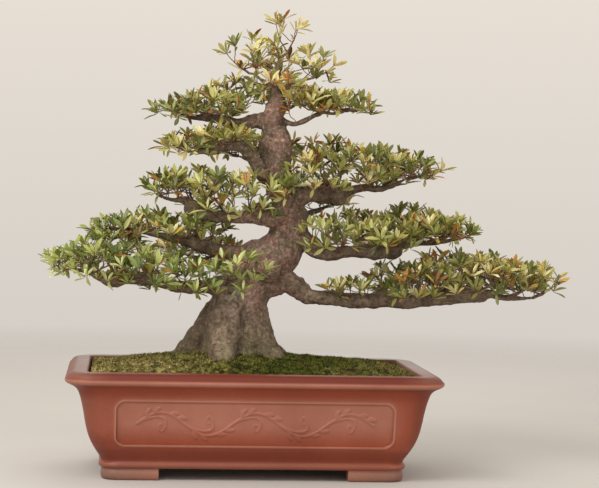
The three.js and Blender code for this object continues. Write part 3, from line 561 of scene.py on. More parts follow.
POT_HALF = (285.0, 177.5)
RIM_WIDTH = 33.6
FLARE_RATIO = 0.85  # how much of the ends' outward flare the long sides have
OUTER_CORNER = 28
LIP_CORNER = 38
LIP_FOOT = 128  # the corners grow rounder over a rise of 20
LIP_RISE = 20
INNER_CORNER = 12
FLOOR_TOP = 29
FOOT_LENGTH = 86
FOOT_DEPTH = 66
FOOT_WALL = 26
FOOT_HALF_LENGTH = 229
FOOT_RISE = 17.5
FOOT_CORNER = 24
FOOT_EASE = 1.2  # how much the feet's lower edges are rounded
DRAIN_SIDES = 40
DRAIN_RADIUS = 17
DRAIN_X = 125

PANEL_HALF_LENGTH = 209
PANEL_LOW = 53
PANEL_HIGH = 122
PANEL_CORNER = 15
PANEL_RECESS = 1.2
FRAME_HALF_WIDTH = 1.9
FRAME_PROUD = 1.3
SCROLL_SWING = 17.5
SCROLL_WAVES = 2.5
SCROLL_MARGIN = 32
SCROLL_HALF_WIDTH = 2.0
SCROLL_PROUD = 1.5
SPIRAL_HEIGHT = 14.5
SPIRAL_HEART = 3
SPIRAL_TURNS = 1.375
SPIRAL_SINK = 4  # how far each spiral's heart lies from the panel's middle line
VINE_REACH = PANEL_HALF_LENGTH - SCROLL_MARGIN
PANEL_MIDDLE = (PANEL_LOW + PANEL_HIGH) / 2
# Leaves in each bay: place along it from -1 to 1, how steeply they stand off the vine, length.
SCROLL_LEAVES = ((-0.62, 1.0, 15), (-0.3, 0.75, 13), (0.36, 0.7, 13), (0.68, 1.0, 15))

# Half length of the pot against height: up the outside, over the lip and down to the floor.
OUTER_PROFILE = [
    (228.5, 17.5), (231.5, 18.8), (233, 21.8), (232.3, 25.2), (229.6, 28), (231, 32.5),
    (235.5, 39.5), (241.5, 49.5), (247, 61), (251.3, 74), (254.6, 89), (257.2, 104),
    (260.2, 118), (263, 128), (266.5, 135.5), (272, 141), (279, 144.8), (283.8, 148),
    (285, 151), (284.2, 153.6), (282.6, 154.9), (281.4, 156.6), (279.6, 159), (277, 160.9),
    (273.6, 162.3), (269.6, 163),
]
RIM_INNER = [(255.5, 163), (253, 162.7), (251.6, 161.2)]
INNER_PROFILE = [(250.8, 155), (249.6, 142), (244, 100), (236, 62), (224, 36), (209, 29)]
FOOT_PROFILE = [
    (225.5, 0), (226.8, 0.6), (228.6, 2.4), (229.6, 5), (229.8, 9), (229.2, 12.5),
    (228.4, 15), (228, 19),
]


CORNERS = ((1, 1), (-1, 1), (-1, -1), (1, -1))  # anticlockwise from above


def half_depth(half_length):
    return POT_HALF[1] - (POT_HALF[0] - half_length) * FLARE_RATIO


def inner_half_depth(half_length):
    return POT_HALF[1] - RIM_WIDTH - (POT_HALF[0] - RIM_WIDTH - half_length) * FLARE_RATIO


def corner_arc(sx, sy, half_x, half_y, radius, steps):
    """A round corner seen from above, anticlockwise, for the corner on sides sx and sy."""
    angles = CORNERS.index((sx, sy)) * math.pi / 2 + np.linspace(0, math.pi / 2, steps + 1)
    return np.stack([
        sx * (half_x - radius) + radius * np.cos(angles),
        sy * (half_y - radius) + radius * np.sin(angles),
    ], -1)


LONG_SPANS = 300
SHORT_SPANS = 26
CORNER_STEPS = 9
PANEL_REACH = 213.5  # half of the stretch along which the columns stand upright
WALL_STEP = 1.45  # between the rings on the panels


def pot_ring(half_x, half_y, radius, z):
    """One level of the pot, anticlockwise from above, close enough together for the relief."""
    straight = min(half_x - radius, PANEL_REACH)
    along = np.linspace(straight, -straight, LONG_SPANS + 1)
    down = np.linspace(half_y - radius, -(half_y - radius), SHORT_SPANS + 1)[1:-1]
    parts = []
    for sx, sy in CORNERS:
        parts.append(corner_arc(sx, sy, half_x, half_y, radius, CORNER_STEPS))
        side = (sx * along, sy * half_y) if sx == sy else (sx * half_x, sy * down)
        parts.append(np.column_stack(np.broadcast_arrays(*side)))
    ring = np.vstack(parts)
    return np.column_stack([ring, np.full(len(ring), z)])


def panel_distance(x, z):
    """Distance from the panel's outline, less than zero inside it."""
    half_x = PANEL_HALF_LENGTH - PANEL_CORNER
    half_z = (PANEL_HIGH - PANEL_LOW) / 2 - PANEL_CORNER
    dx = np.abs(x) - half_x
    dz = np.abs(z - PANEL_MIDDLE) - half_z
    outside = np.hypot(np.maximum(dx, 0), np.maximum(dz, 0))
    return outside + np.minimum(np.maximum(dx, dz), 0) - PANEL_CORNER


def vine_point(x):
    turn = (x / VINE_REACH + 1) * SCROLL_WAVES * math.pi
    return np.stack([x, PANEL_MIDDLE + np.sin(turn) * SCROLL_SWING], -1)


def scroll_spiral(heart_x, side, reach):
    """A branch that leaves the vine along it and curls up inside the vine's arch."""
    s = np.linspace(0, 1, 60)
    turn = math.pi - side * 2 * math.pi * SPIRAL_TURNS * s
    far = SPIRAL_HEART + (reach - SPIRAL_HEART) * (1 - s) ** 4.7
    tall = SPIRAL_HEART + (SPIRAL_HEIGHT - SPIRAL_HEART) * (1 - s) ** 1.2
    sink = side * SPIRAL_SINK * smooth_step(0, 0.4, s)
    path = np.stack([heart_x + far * np.cos(turn), PANEL_MIDDLE - sink + tall * np.sin(turn)], -1)
    return path, mix(1.0, 0.6, s)


def scroll_leaf(x, side, lean, length):
    """A small curved leaf on the outer side of the vine."""
    s = np.linspace(0, 1, 9)
    root = vine_point(x)
    way = unit(vine_point(x + 0.01) - root)
    out = np.array([-way[1], way[0]]) * side
    straight = unit(0.8 * way + lean * out)
    turned = np.array([-straight[1], straight[0]]) * -side
    path = root + s[:, None] * length * straight + (0.35 * length * s * s)[:, None] * turned
    return path, 1.9 * np.sin(math.pi * np.clip(s, 0.06, 0.97)) ** 0.8


def scroll_lines():
    """The scroll ornament: paths of [x, z] and each point's width. One running vine, a spiral in
    each of its bays, and leaves on its outer side."""
    along = np.linspace(-VINE_REACH, VINE_REACH, 121)
    lines = [(vine_point(along), np.ones(len(along)))]
    bays = int(2 * SCROLL_WAVES)
    reach = VINE_REACH / bays
    for bay in range(bays):
        side = 1 if bay % 2 == 0 else -1
        heart_x = mix(-VINE_REACH, VINE_REACH, (bay + 0.5) / bays)
        lines.append(scroll_spiral(heart_x, side, reach))
        for spot, lean, length in SCROLL_LEAVES:
            lines.append(scroll_leaf(heart_x + spot * reach, side, lean, length))
    return lines


def line_height(x, z, lines):
    """Height of round-topped strips that follow the lines."""
    height = np.zeros_like(x)
    for line, widths in lines:
        reach = SCROLL_HALF_WIDTH * widths.max() + 0.5
        near = (
            (x > line[:, 0].min() - reach) & (x < line[:, 0].max() + reach)
            & (z > line[:, 1].min() - reach) & (z < line[:, 1].max() + reach)
        )
        spots = np.stack([x[near], z[near]], -1)
        best = np.zeros(len(spots))
        for a, b, wide, next_wide in zip(line[:-1], line[1:], widths[:-1], widths[1:]):
            t = np.clip(((spots - a) @ (b - a)) / ((b - a) @ (b - a)), 0, 1)
            gap = np.linalg.norm(spots - a - t[:, None] * (b - a), axis=1)
            slim = mix(wide, next_wide, t)
            dome = np.sqrt(np.clip(1 - (gap / (slim * SCROLL_HALF_WIDTH)) ** 2, 0, 1))
            best = np.maximum(best, dome * np.minimum(1, slim))
        height[near] = np.maximum(height[near], best * SCROLL_PROUD)
    return height


def panel_relief(x, z, wall, with_scroll):
    """How far the long walls stand out of their plain form: a sunk field in a raised frame."""
    gap = panel_distance(x, z)
    share = np.clip((z - PANEL_LOW) / (PANEL_HIGH - PANEL_LOW), 0, 1)
    relief = mix(wall(PANEL_LOW), wall(PANEL_HIGH), share) - wall(z) - PANEL_RECESS
    if with_scroll:
        relief = relief + line_height(x, z, scroll_lines())
    relief = relief * smooth_step(0.6, -1.6, gap)
    ridge = np.sqrt(np.clip(1 - (gap / FRAME_HALF_WIDTH) ** 2, 0, 1)) * FRAME_PROUD
    return np.where(np.abs(gap) < FRAME_HALF_WIDTH, np.maximum(relief, ridge), relief)


def foot_shell(sx, sy):
    """One L-shaped corner foot: rings of points and their faces, sunk into the pot's underside."""
    profile = smooth_rows([(x, 0, z) for x, z in FOOT_PROFILE], 1.2)
    foot_half = np.array([FOOT_HALF_LENGTH, half_depth(FOOT_HALF_LENGTH)])
    rings = []
    for half_x, _, z in profile:
        half_y = half_depth(half_x)
        ease = FOOT_EASE * (1 - smooth_step(0, 2, z))
        edge_x, edge_y = foot_half - (FOOT_LENGTH, FOOT_DEPTH) + ease
        inner_x, inner_y = foot_half - FOOT_WALL + ease
        arc = corner_arc(1, 1, half_x, half_y, FOOT_CORNER, 10)
        plan = np.vstack([
            [[inner_x, edge_y], [half_x, edge_y]], arc,
            [[edge_x, half_y], [edge_x, inner_y], [inner_x, inner_y]],
        ])
        ring = np.column_stack([plan * (sx, sy), np.full(len(plan), z)])
        rings.append(ring if sx * sy > 0 else ring[::-1])
    return closed_shell(rings)


def pot_levels():
    """Half length and height of each ring up the outside, evenly spaced on the panels, and the
    wall's half depth against height."""
    outer = smooth_rows([(x, 0, z) for x, z in OUTER_PROFILE], 2.4)[:, [0, 2]]
    wall = outer[(outer[:, 1] > 30) & (outer[:, 1] < 136)]
    steps = np.arange(PANEL_LOW - 5, PANEL_HIGH + 5, WALL_STEP)
    rows = np.column_stack([np.interp(steps, wall[:, 1], wall[:, 0]), steps])
    below = outer[outer[:, 1] < steps[0] - 1]
    above = outer[np.argmax(outer[:, 1] > steps[-1] + 1):]
    return np.vstack([below, rows, above]), lambda z: half_depth(np.interp(z, wall[:, 1], wall[:, 0]))


def make_pot():
    outer, wall = pot_levels()
    rings = []
    for x, z in outer:
        lip = np.clip((z - LIP_FOOT) / LIP_RISE, 0, 1)
        rings.append(pot_ring(x, half_depth(x), mix(OUTER_CORNER, LIP_CORNER, lip), z))
    for i, (x, z) in enumerate(RIM_INNER + INNER_PROFILE):
        radius = mix(INNER_CORNER + 3, INNER_CORNER, min(1, i / 2))
        rings.append(pot_ring(x, inner_half_depth(x), radius, z))
    points, faces = closed_shell(rings)
    x, y, z = points.T
    outside = np.arange(len(points)) < len(outer) * len(rings[0])
    on_wall = outside & (z > PANEL_LOW - 4) & (z < PANEL_HIGH + 4) & (np.abs(x) < PANEL_REACH)
    for side in (-1, 1):
        chosen = on_wall & (side * y > 0)
        points[chosen, 1] += side * panel_relief(x[chosen], z[chosen], wall, side < 0)
    shell = new_piece("pot_clay", points, faces, [CLAY])
    drill_drains(shell)
    corners = itertools.product((-1, 1), repeat=2)
    feet = [new_piece("foot", *foot_shell(*sides), [CLAY]) for sides in corners]
    join([shell, *feet])
    shade(shell, sharp_from=42)
    paint_clay(shell)
    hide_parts("pot")
    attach(shell, "root")


# Heights where a mark on the clay starts, is full, fades and ends.
BEAD_BAND = (144, 147, 150.5, 153.5)
UNDER_LIP_BAND = (122, 132, 140, 144)
END_BAND = (56, 80, 118, 136)
TURN_IN_BAND = (27, 29, PANEL_LOW - 10, PANEL_LOW - 1)
FEET_TOP = (20, 12)
LIP_TOP = (163.2, 162.2)


def paint_clay(shell):
    """Painted sheen and highlights on the bead, panels, frame, left end and feet, redder painted shade
    under the lip, darker painted shade round the shoulder, ends and lower wall, greyer painted shade on
    top and dusty feet."""
    x, y, z = points_of(shell).T
    far = np.abs(x)
    gap = np.where(np.abs(y) > 120, panel_distance(x, z), 99)
    feet = smooth_step(*FEET_TOP, z)
    # Painted highlights on the bead, the frame and the left end, and painted sheen on the panels and the
    # feet.
    painted_sheen = [
        0.56 * band(z, *BEAD_BAND),
        0.42 * smooth_step(12, -8, gap) * smooth_step(PANEL_LOW + 2, PANEL_LOW + 38, z),
        0.68 * smooth_step(FRAME_HALF_WIDTH, 0.5, np.abs(gap)),
        0.12 * band(z, *END_BAND) * smooth_step(-206, -222, x),
        0.08 * feet,
    ]
    paint(shell, "painted_sheen", np.maximum.reduce(painted_sheen))
    # Redder under the lip: painted shade.
    paint(shell, "deep", 0.5 * band(z, *UNDER_LIP_BAND))
    front = (y < 0) * smooth_step(262, 225, far)
    shoulder = smooth_step(151.5, 154.5, z) * mix(1, smooth_step(*LIP_TOP, z), 1 - 0.7 * front)
    # Painted shade: darker round the shoulder, most along the front, at the pot's ends and on the lower
    # wall where it turns in.
    painted_clay_shade = [
        shoulder * mix(0.45, 0.95, front),
        smooth_step(226, 250, far) * smooth_step(150, 144, z) * np.where(x > 0, 0.5, 0.34),
        0.45 * band(z, *TURN_IN_BAND),
    ]
    paint(shell, "painted_clay_shade", np.maximum.reduce(painted_clay_shade))
    # Greyer: dusty clay on the feet and the waist, and painted shade on the lip's top and shoulder away
    # from the front.
    dust_and_shade = [
        0.8 * smooth_step(161.5, 162.9, z) * (1 - front),
        0.4 * smooth_step(152, 157, z) * (1 - front),
        0.25 * smooth_step(29, 26, z) + 0.45 * feet,
    ]
    paint(shell, "dust_and_shade", np.maximum.reduce(dust_and_shade))


def drill_drains(shell):
    """Cuts the two drainage holes through the pot's floor."""
    turns = np.linspace(0, 2 * math.pi, DRAIN_SIDES, endpoint=False)
    for sx in (-1, 1):
        x, y = sx * DRAIN_X + DRAIN_RADIUS * np.cos(turns), DRAIN_RADIUS * np.sin(turns)
        heights = (FOOT_RISE - 6, FLOOR_TOP + 6)
        rings = [np.column_stack([x, y, np.full(DRAIN_SIDES, z)]) for z in heights]
        cutter = new_piece("cutter", *closed_shell(rings), [])
        cut = shell.modifiers.new("drain", "BOOLEAN")
        cut.operation = "DIFFERENCE"
        cut.solver = "EXACT"
        cut.object = cutter
        with_modifiers(shell)
        bpy.data.objects.remove(cutter)


# ---------------------------------------------------------------- tree: wood

# Each limb is a list of (x, y, z, radius), from inside what it grows from to its own end.
LIMBS = {
    "right_1": [
        (16, 8, 293, 24), (50, 2, 297, 19.5), (72, -1, 285, 15.5), (94, -4, 273.5, 12.6),
        (130, -9, 271, 11.8), (172, -14, 268.5, 12.4), (209, -16, 272, 11.7), (242, -18, 270, 13),
        (285, -20, 275, 11.6), (328, -18, 281, 12.6), (360, -14, 281, 13), (377, -12, 283, 7.8),
        (400, -8, 277, 5), (426, -4, 276, 3.4), (448, 0, 277, 2.3),
    ],
    "right_2": [
        (43, 4, 373, 19), (74, -4, 366, 15.5), (94, -10, 350, 13), (117, -14, 341, 10.9),
        (145, -18, 345, 9.6), (175, -20, 345, 11.5), (207, -18, 349, 13), (234, -14, 359, 10.5),
        (255, -10, 362, 7.6), (278, -5, 361, 4.7), (304, 0, 364, 3.4), (332, 4, 370, 2.2),
    ],
    "right_3": [
        (47, 0, 430, 17), (76, 4, 432, 15), (98, 8, 436, 13.3), (121, 12, 432, 12.5),
        (144, 15, 437, 8.6), (173, 18, 446, 6.6), (198, 18, 445, 5.6), (218, 16, 449, 4),
        (242, 14, 462, 2.3),
    ],
    "right_4": [
        (30, -6, 553, 8), (50, -9, 545, 4.8), (62, -9, 543, 4), (81, -8, 551, 3.8),
        (102, -6, 562, 3.5), (122, -4, 561, 3), (142, -2, 566, 2.4),
    ],
    "left_5": [
        (28, -6, 545, 14.5), (4, -2, 547, 12), (-27, 2, 541, 9.6), (-66, 4, 549, 6.4),
        (-96, 2, 550, 4.1), (-114, 0, 554, 3.1), (-128, 0, 560, 2.2),
    ],
    "left_4": [
        (34, -6, 452, 14), (11, -14, 464, 11.7), (-2, -18, 485, 10.6), (-19, -20, 503, 9.3),
        (-40, -20, 506, 7.5), (-64, -18, 501, 5.3), (-84, -16, 495, 4), (-103, -14, 496, 3),
        (-120, -12, 503, 2.1),
    ],
    "left_3": [
        (48, -4, 399, 18.5), (19, -10, 400, 16.4), (-3, -12, 399, 13), (-25, -12, 397, 10),
        (-53, -12, 395, 9.3), (-78, -12, 398, 10.9), (-96, -10, 411, 9.4), (-110, -8, 420, 6.6),
        (-126, -6, 420, 3.5), (-143, -4, 424, 2.2),
    ],
    "left_2": [
        (43, 4, 351, 20), (9, 8, 347, 15), (-19, 14, 340, 11.8), (-42, 20, 341, 9.8),
        (-63, 24, 344, 10.2), (-83, 26, 350, 10.7), (-102, 26, 356, 9.2), (-123, 26, 360, 6.9),
        (-146, 26, 364, 4.7), (-170, 24, 368, 3.5), (-194, 22, 373, 2.2),
    ],
    "left_1": [
        (-14, -6, 278, 26.5), (-48, -16, 286, 18.5), (-76, -22, 286, 12.4), (-106, -26, 285, 9.9),
        (-137, -28, 291, 9.6), (-168, -28, 298, 9.9), (-199, -26, 298, 10.9), (-220, -24, 294, 9.9),
        (-240, -20, 301, 6.8), (-258, -14, 307, 4.4), (-275, -8, 308, 3), (-292, -4, 309, 2),
    ],
    "back_1": [
        (-22, 16, 300, 14), (-36, 55, 312, 9.6), (-52, 90, 318, 7.4), (-72, 122, 324, 5),
        (-92, 148, 328, 3), (-104, 166, 332, 2),
    ],
    "back_2": [
        (52, 6, 385, 13), (72, 42, 396, 8.6), (92, 75, 402, 6.4), (112, 105, 408, 4.2),
        (128, 130, 414, 2.4),
    ],
    "back_3": [
        (38, 0, 462, 12), (28, 38, 474, 7.6), (12, 72, 482, 5.4), (-5, 102, 488, 3.6),
        (-18, 128, 494, 2.2),
    ],
    "back_4": [
        (32, -8, 545, 9), (40, 25, 556, 5.6), (48, 55, 564, 3.6), (54, 80, 570, 2.2),
    ],
    "leader": [(29, -14, 588, 8.5), (27, -16, 604, 4.4), (30, -15, 624, 3.2), (36, -12, 646, 2.3)],
    "leader_right": [(30, -14, 592, 4.6), (48, -9, 603, 3.4), (68, -2, 613, 2.4)],
    "leader_left": [(28, -15, 596, 4.4), (10, -9, 608, 3.3), (-4, -1, 620, 2.2)],
}

# The trunk itself: (x, y, z, half width, half depth) up its winding axis.
TRUNK = [
    (-29, 0, 124, 34, 30), (-27, 0, 160, 62, 54), (-25, 1, 196, 58, 50),
    (-22, 2, 228, 49, 44), (-19, 4, 256, 43, 40), (-9, 6, 284, 41, 40), (13, 8, 312, 39, 38),
    (37, 9, 337, 36, 35), (53, 7, 361, 32, 31), (57, 5, 385, 29, 28), (53, 2, 408, 27, 26),
    (47, -1, 432, 23.5, 23), (39, -3, 455, 22, 21), (34, -5, 478, 22, 21), (33, -7, 505, 24, 21),
    (32, -9, 524, 21.5, 19.5), (25, -11, 541, 16, 16), (27, -12, 557, 16.5, 16), (32, -13, 573, 16, 15),
    (31, -14, 589, 10, 9.5),
]

# Surface roots: (x, y, z, radius), from inside the trunk's foot down into the soil.
ROOTS = [
    [(-38, 0, 252, 27), (-68, 2, 217, 25), (-93, 5, 188, 18), (-120, 8, 168, 12), (-148, 12, 152, 5)],
    [
        (-34, -10, 256, 32), (-43, -38, 220, 27), (-47, -66, 187, 21), (-47, -94, 160, 14),
        (-47, -118, 142, 6),
    ],
    [(-8, -6, 246, 27), (8, -22, 212, 24), (24, -33, 190, 18), (42, -42, 172, 12), (64, -52, 154, 5)],
    [(-8, 4, 234, 20), (9, 8, 205, 18.5), (32, 12, 186, 16), (58, 16, 172, 10.5), (84, 20, 158, 5)],
    [(-12, 18, 250, 28), (8, 48, 206, 20), (26, 76, 175, 13), (44, 102, 150, 5)],
    [(-36, 20, 248, 28), (-58, 53, 205, 20), (-78, 82, 175, 13), (-96, 108, 150, 5)],
]

# Healed stubs and swellings: (x, y, z, radius).
KNOBS = [
    (8, -14, 403, 18), (46, -6, 511, 13), (22, -24, 316, 22), (352, -16, 288, 16),
    (219, -14, 352, 17), (132, 8, 433, 16), (-96, -14, 408, 13),
]

# How the tubes are made: the rings' spacing, the sides, which way the first faces, unevenness.
TRUNK_TUBE = (5, 40, (1, 0, 0), 0.12)
ROOT_TUBE = (5, 24, (0, 1, 0.3), 0.17)
LIMB_TUBE = (4, 18, (0, 1, 0.3), 0.15)
WOOD_VOXEL = 0.0019  # metres
WOOD_TRIANGLES = 185000
# The bark's swells, dents and flakes: their size, how far they stand in or out, and their seed.
BARK_FORMS = ((24, 2.6, 11), (11, 1.1, 29), (5, 0.5, 53))
FISSURE_DEPTH = 0.9
# Soft spots on the trunk's front: middle x and z, half width and half height.
PALE_SPOT = (-30, 280, 20, 30)  # lichen
HOLLOWS = (((-70, 252, 9, 24), 5), ((-14, 246, 6, 16), 4), ((10, 430, 7, 10), 3))  # and depths
# Where the bark's marks start and are full, along the trunk's front (x) or up it (z).
PEELED_X = (-70, -10, 50, 110)
PEELED_Z = (225, 270)
ALGAE_Z = (240, 168)


def tube(rows, sides, start_normal, uneven=0):
    """A closed tube round a smooth path: rows hold a point, a half width and a half depth."""
    normal = np.array(start_normal, float)
    angles = np.linspace(0, 2 * math.pi, sides, endpoint=False)
    cos, sin = np.cos(angles)[:, None], np.sin(angles)[:, None]
    rings = []
    for row, tangent in zip(rows, np.gradient(rows[:, :3], axis=0)):
        centre, (a, b) = row[:3], row[3:5]
        tangent = unit(tangent)
        normal = unit(normal - (normal @ tangent) * tangent)
        side = np.cross(tangent, normal)
        ring = cos * normal * a + sin * side * b
        if uneven:
            out = cos * normal + sin * side
            size = max(a, b)
            ring *= 1 + uneven * layered_lumps(centre + out * size, size * 1.6, 5, 2)[:, None]
        rings.append(centre + ring)
    return closed_shell(rings)


def knob_shell(x, y, z, radius):
    rows = [
        (x, y, z + radius * math.sin(t), radius * math.cos(t), radius * math.cos(t))
        for t in np.linspace(-1.5, 1.5, 15)
    ]
    return tube(np.array(rows), 20, (1, 0, 0), 0.1)


def smooth_tube(path, spacing, *form):
    """A tube along a path whose rows end with one radius or with a half width and half depth."""
    rows = [(*row[:4], row[-1]) for row in path]
    return tube(smooth_rows(rows, spacing), *form)


def wood_shells():
    shells = [smooth_tube(TRUNK, *TRUNK_TUBE)]
    shells += [smooth_tube(path, *ROOT_TUBE) for path in ROOTS]
    shells += [smooth_tube(path, *LIMB_TUBE) for path in LIMBS.values()]
    return shells + [knob_shell(*knob) for knob in KNOBS]


def axis_segments():
    """Every stretch of the wood's axes: starts, ends, radii and the length run before it."""
    starts, ends, sizes, runs = [], [], [], []
    paths = [[(*p[:3], (p[3] + p[4]) / 2) for p in TRUNK], *ROOTS, *LIMBS.values()]
    for path in paths:
        run = 0.0
        for a, b in zip(path[:-1], path[1:]):
            starts.append(a[:3])
            ends.append(b[:3])
            sizes.append((a[3], b[3]))
            runs.append(run)
            run += math.dist(a[:3], b[:3])
    return (np.array(v, float) for v in (starts, ends, sizes, runs))


WOOD_AXES = tuple(axis_segments())


def wood_grain(points):
    """Each point's place as if its limb were straight: across, across and along, in metres."""
    starts, ends, sizes, runs = WOOD_AXES
    along = ends - starts
    lengths = np.linalg.norm(along, axis=1)
    best = np.full(len(points), np.inf)
    grain = np.zeros((len(points), 3))
    for a, way, length, (low, high), run in zip(starts, along, lengths, sizes, runs):
        t = np.clip(((points - a) @ way) / length**2, 0, 1)
        out = points - a - t[:, None] * way
        gap = np.linalg.norm(out, axis=1) / mix(low, high, t)
        near = gap < best
        best[near] = gap[near]
        side = unit(np.cross(way, (0.0, 1.0, 0.3)))
        other = np.cross(way / length, side)
        grain[near, 0] = out[near] @ side
        grain[near, 1] = out[near] @ other
        grain[near, 2] = run + t[near] * length
    return grain / 1000


def fuse_wood(wood):
    """Fuses the tubes into one body, with the joints between them blended."""
    remesh = wood.modifiers.new("fuse", "REMESH")
    remesh.mode = "VOXEL"
    remesh.voxel_size = WOOD_VOXEL
    smooth = wood.modifiers.new("blend", "SMOOTH")
    smooth.factor = 0.5
    smooth.iterations = 4
    with_modifiers(wood)


def shape_bark(wood):
    """Fissures along the grain, swells and flakes of several sizes, and the trunk's hollows."""
    points = points_of(wood)
    normals = np.empty(points.size)
    wood.data.vertices.foreach_get("normal", normals)
    normals = normals.reshape(-1, 3)
    grain = wood_grain(points) * 1000
    depth = -FISSURE_DEPTH * np.abs(layered_lumps(grain * (1, 1, 0.45), 15, 29, 2)) + 0.4
    for size, proud, seed in BARK_FORMS:
        depth += proud * layered_lumps(points, size, seed, 2)
    depth *= mix(0.3, 1, smooth_step(3, 15, np.hypot(grain[:, 0], grain[:, 1])))
    front = smooth_step(0.2, -0.2, normals[:, 1])
    for spot, sunk in HOLLOWS:
        depth -= sunk * spot_share(points[:, 0], points[:, 2], spot) * front
    move_points(wood, points + normals * depth[:, None])


def slim_wood(wood):
    triangles = sum(len(p.vertices) - 2 for p in wood.data.polygons)
    slim = wood.modifiers.new("slim", "DECIMATE")
    slim.ratio = min(1.0, WOOD_TRIANGLES / triangles)
    with_modifiers(wood)


def paint_bark(wood):
    """Pink where the trunk has newly peeled, algae on its foot, lichen, and painted shade on the roots,
    the upper tree and the right limbs."""
    points = points_of(wood)
    grain = wood.data.attributes.new("grain", "FLOAT_VECTOR", "POINT")
    grain.data.foreach_set("vector", wood_grain(points).astype(np.float32).ravel())
    x, _, z = points.T
    paint(wood, "pink", 0.72 * band(x, *PEELED_X) * smooth_step(*PEELED_Z, z))
    paint(wood, "algae", 0.85 * smooth_step(*ALGAE_Z, z))
    paint(wood, "pale", 0.6 * spot_share(x, z, PALE_SPOT))
    # Painted shade: darker up in the crown, between and low on the roots, and on the right limbs.
    painted_bark_shade = [
        mix(0.16 * smooth_step(225, 260, z), 0.42, smooth_step(370, 470, z)),
        0.46 * smooth_step(-48, -70, x) * smooth_step(290, 240, z),
        0.34 * smooth_step(-12, 6, x) * smooth_step(262, 225, z),
        0.3 * smooth_step(200, 172, z),
        0.4 * smooth_step(60, 90, x) * smooth_step(305, 330, z),
    ]
    paint(wood, "painted_bark_shade", np.maximum.reduce(painted_bark_shade))


def make_wood():
    wood = new_piece("trunk_wood", *gather(wood_shells()), [BARK])
    fuse_wood(wood)
    shape_bark(wood)
    slim_wood(wood)
    paint_bark(wood)
    shade(wood)
    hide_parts("trunk")
    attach(wood, "root")


# ---------------------------------------------------------------- tree: leafy sprays

# Each spray grows from a limb and fills its own low dome: place along the limb in points from its
# start, the dome's middle and its half sizes.
DOMES = [
    ("right_1", [
        (4.3, (158, -30, 286), (48, 20, 10)), (6.9, (232, 40, 300), (46, 42, 20)),
        (7.4, (262, -56, 302), (46, 40, 20)), (8.6, (312, 46, 315), (50, 42, 24)),
        (9.1, (344, -54, 314), (50, 40, 24)), (10.9, (384, 40, 316), (46, 40, 22)),
        (11.8, (412, -42, 308), (44, 36, 20)), (14, (453, 4, 303), (40, 38, 22)),
    ]),
    ("right_2", [
        (3.5, (114, -46, 374), (42, 30, 20)), (5, (172, 42, 384), (48, 42, 20)),
        (6, (202, -50, 370), (48, 36, 18)), (7.5, (255, 36, 390), (46, 40, 23)),
        (8.5, (276, -38, 378), (44, 36, 18)), (11, (308, 6, 380), (44, 40, 18)),
    ]),
    ("right_3", [
        (2, (98, -36, 468), (46, 32, 24)), (3, (122, 48, 493), (46, 40, 26)),
        (5, (172, -28, 480), (46, 36, 22)), (6, (206, 45, 485), (46, 38, 20)),
        (8, (250, 8, 472), (46, 40, 20)),
    ]),
    ("right_4", [
        (3.5, (88, -30, 572), (44, 28, 18)), (6, (138, 5, 571), (44, 38, 18)),
    ]),
    ("left_5", [
        (2, (-32, 36, 586), (42, 36, 24)), (3, (-68, -32, 566), (42, 34, 20)),
        (6, (-114, 4, 558), (44, 38, 16)),
    ]),
    ("leader", [(3, (42, -8, 688), (25, 26, 28))]),
    ("leader_left", [(2, (-14, 8, 646), (38, 34, 32))]),
    ("leader_right", [(2, (91, 8, 631), (34, 32, 34))]),
    ("leader", [
        (0.6, (24, -44, 600), (44, 26, 20)), (1.6, (36, 46, 632), (42, 32, 24)),
    ]),
    ("left_4", [
        (4, (-46, -34, 516), (38, 30, 18)), (8, (-103, -10, 501), (44, 36, 18)),
    ]),
    ("left_3", [
        (2, (4, -52, 440), (38, 26, 20)), (4, (-54, -46, 440), (42, 32, 20)),
        (5.5, (-80, 36, 447), (44, 38, 20)), (9, (-124, -8, 438), (42, 38, 22)),
    ]),
    ("left_2", [
        (4.5, (-76, 66, 372), (42, 34, 16)), (6, (-112, -20, 376), (44, 34, 17)),
        (8, (-162, 48, 378), (46, 36, 20)), (10, (-212, 2, 367), (46, 42, 20)),
    ]),
    ("left_1", [
        (1, (-24, -64, 318), (44, 24, 20)), (2.5, (-95, -64, 306), (42, 32, 18)),
        (3.5, (-128, 26, 318), (42, 34, 18)), (5, (-170, -68, 314), (44, 34, 22)),
        (6.2, (-206, 30, 336), (46, 38, 24)), (7.5, (-240, -50, 334), (44, 36, 24)),
        (11, (-282, 0, 316), (42, 40, 22)),
    ]),
    ("back_1", [
        (3, (-46, 112, 335), (42, 34, 16)), (5, (-104, 150, 338), (46, 40, 18)),
    ]),
    ("back_2", [(4, (128, 118, 428), (48, 42, 20))]),
    ("back_3", [
        (2, (34, 84, 504), (42, 34, 20)), (4, (-22, 120, 508), (46, 40, 20)),
    ]),
    ("back_4", [(3, (54, 74, 586), (44, 36, 18))]),
    ("right_3", [(0.4, (54, -50, 440), (24, 16, 32))]),
]
SPRAYS = [(limb, *dome) for limb, domes in DOMES for dome in domes]

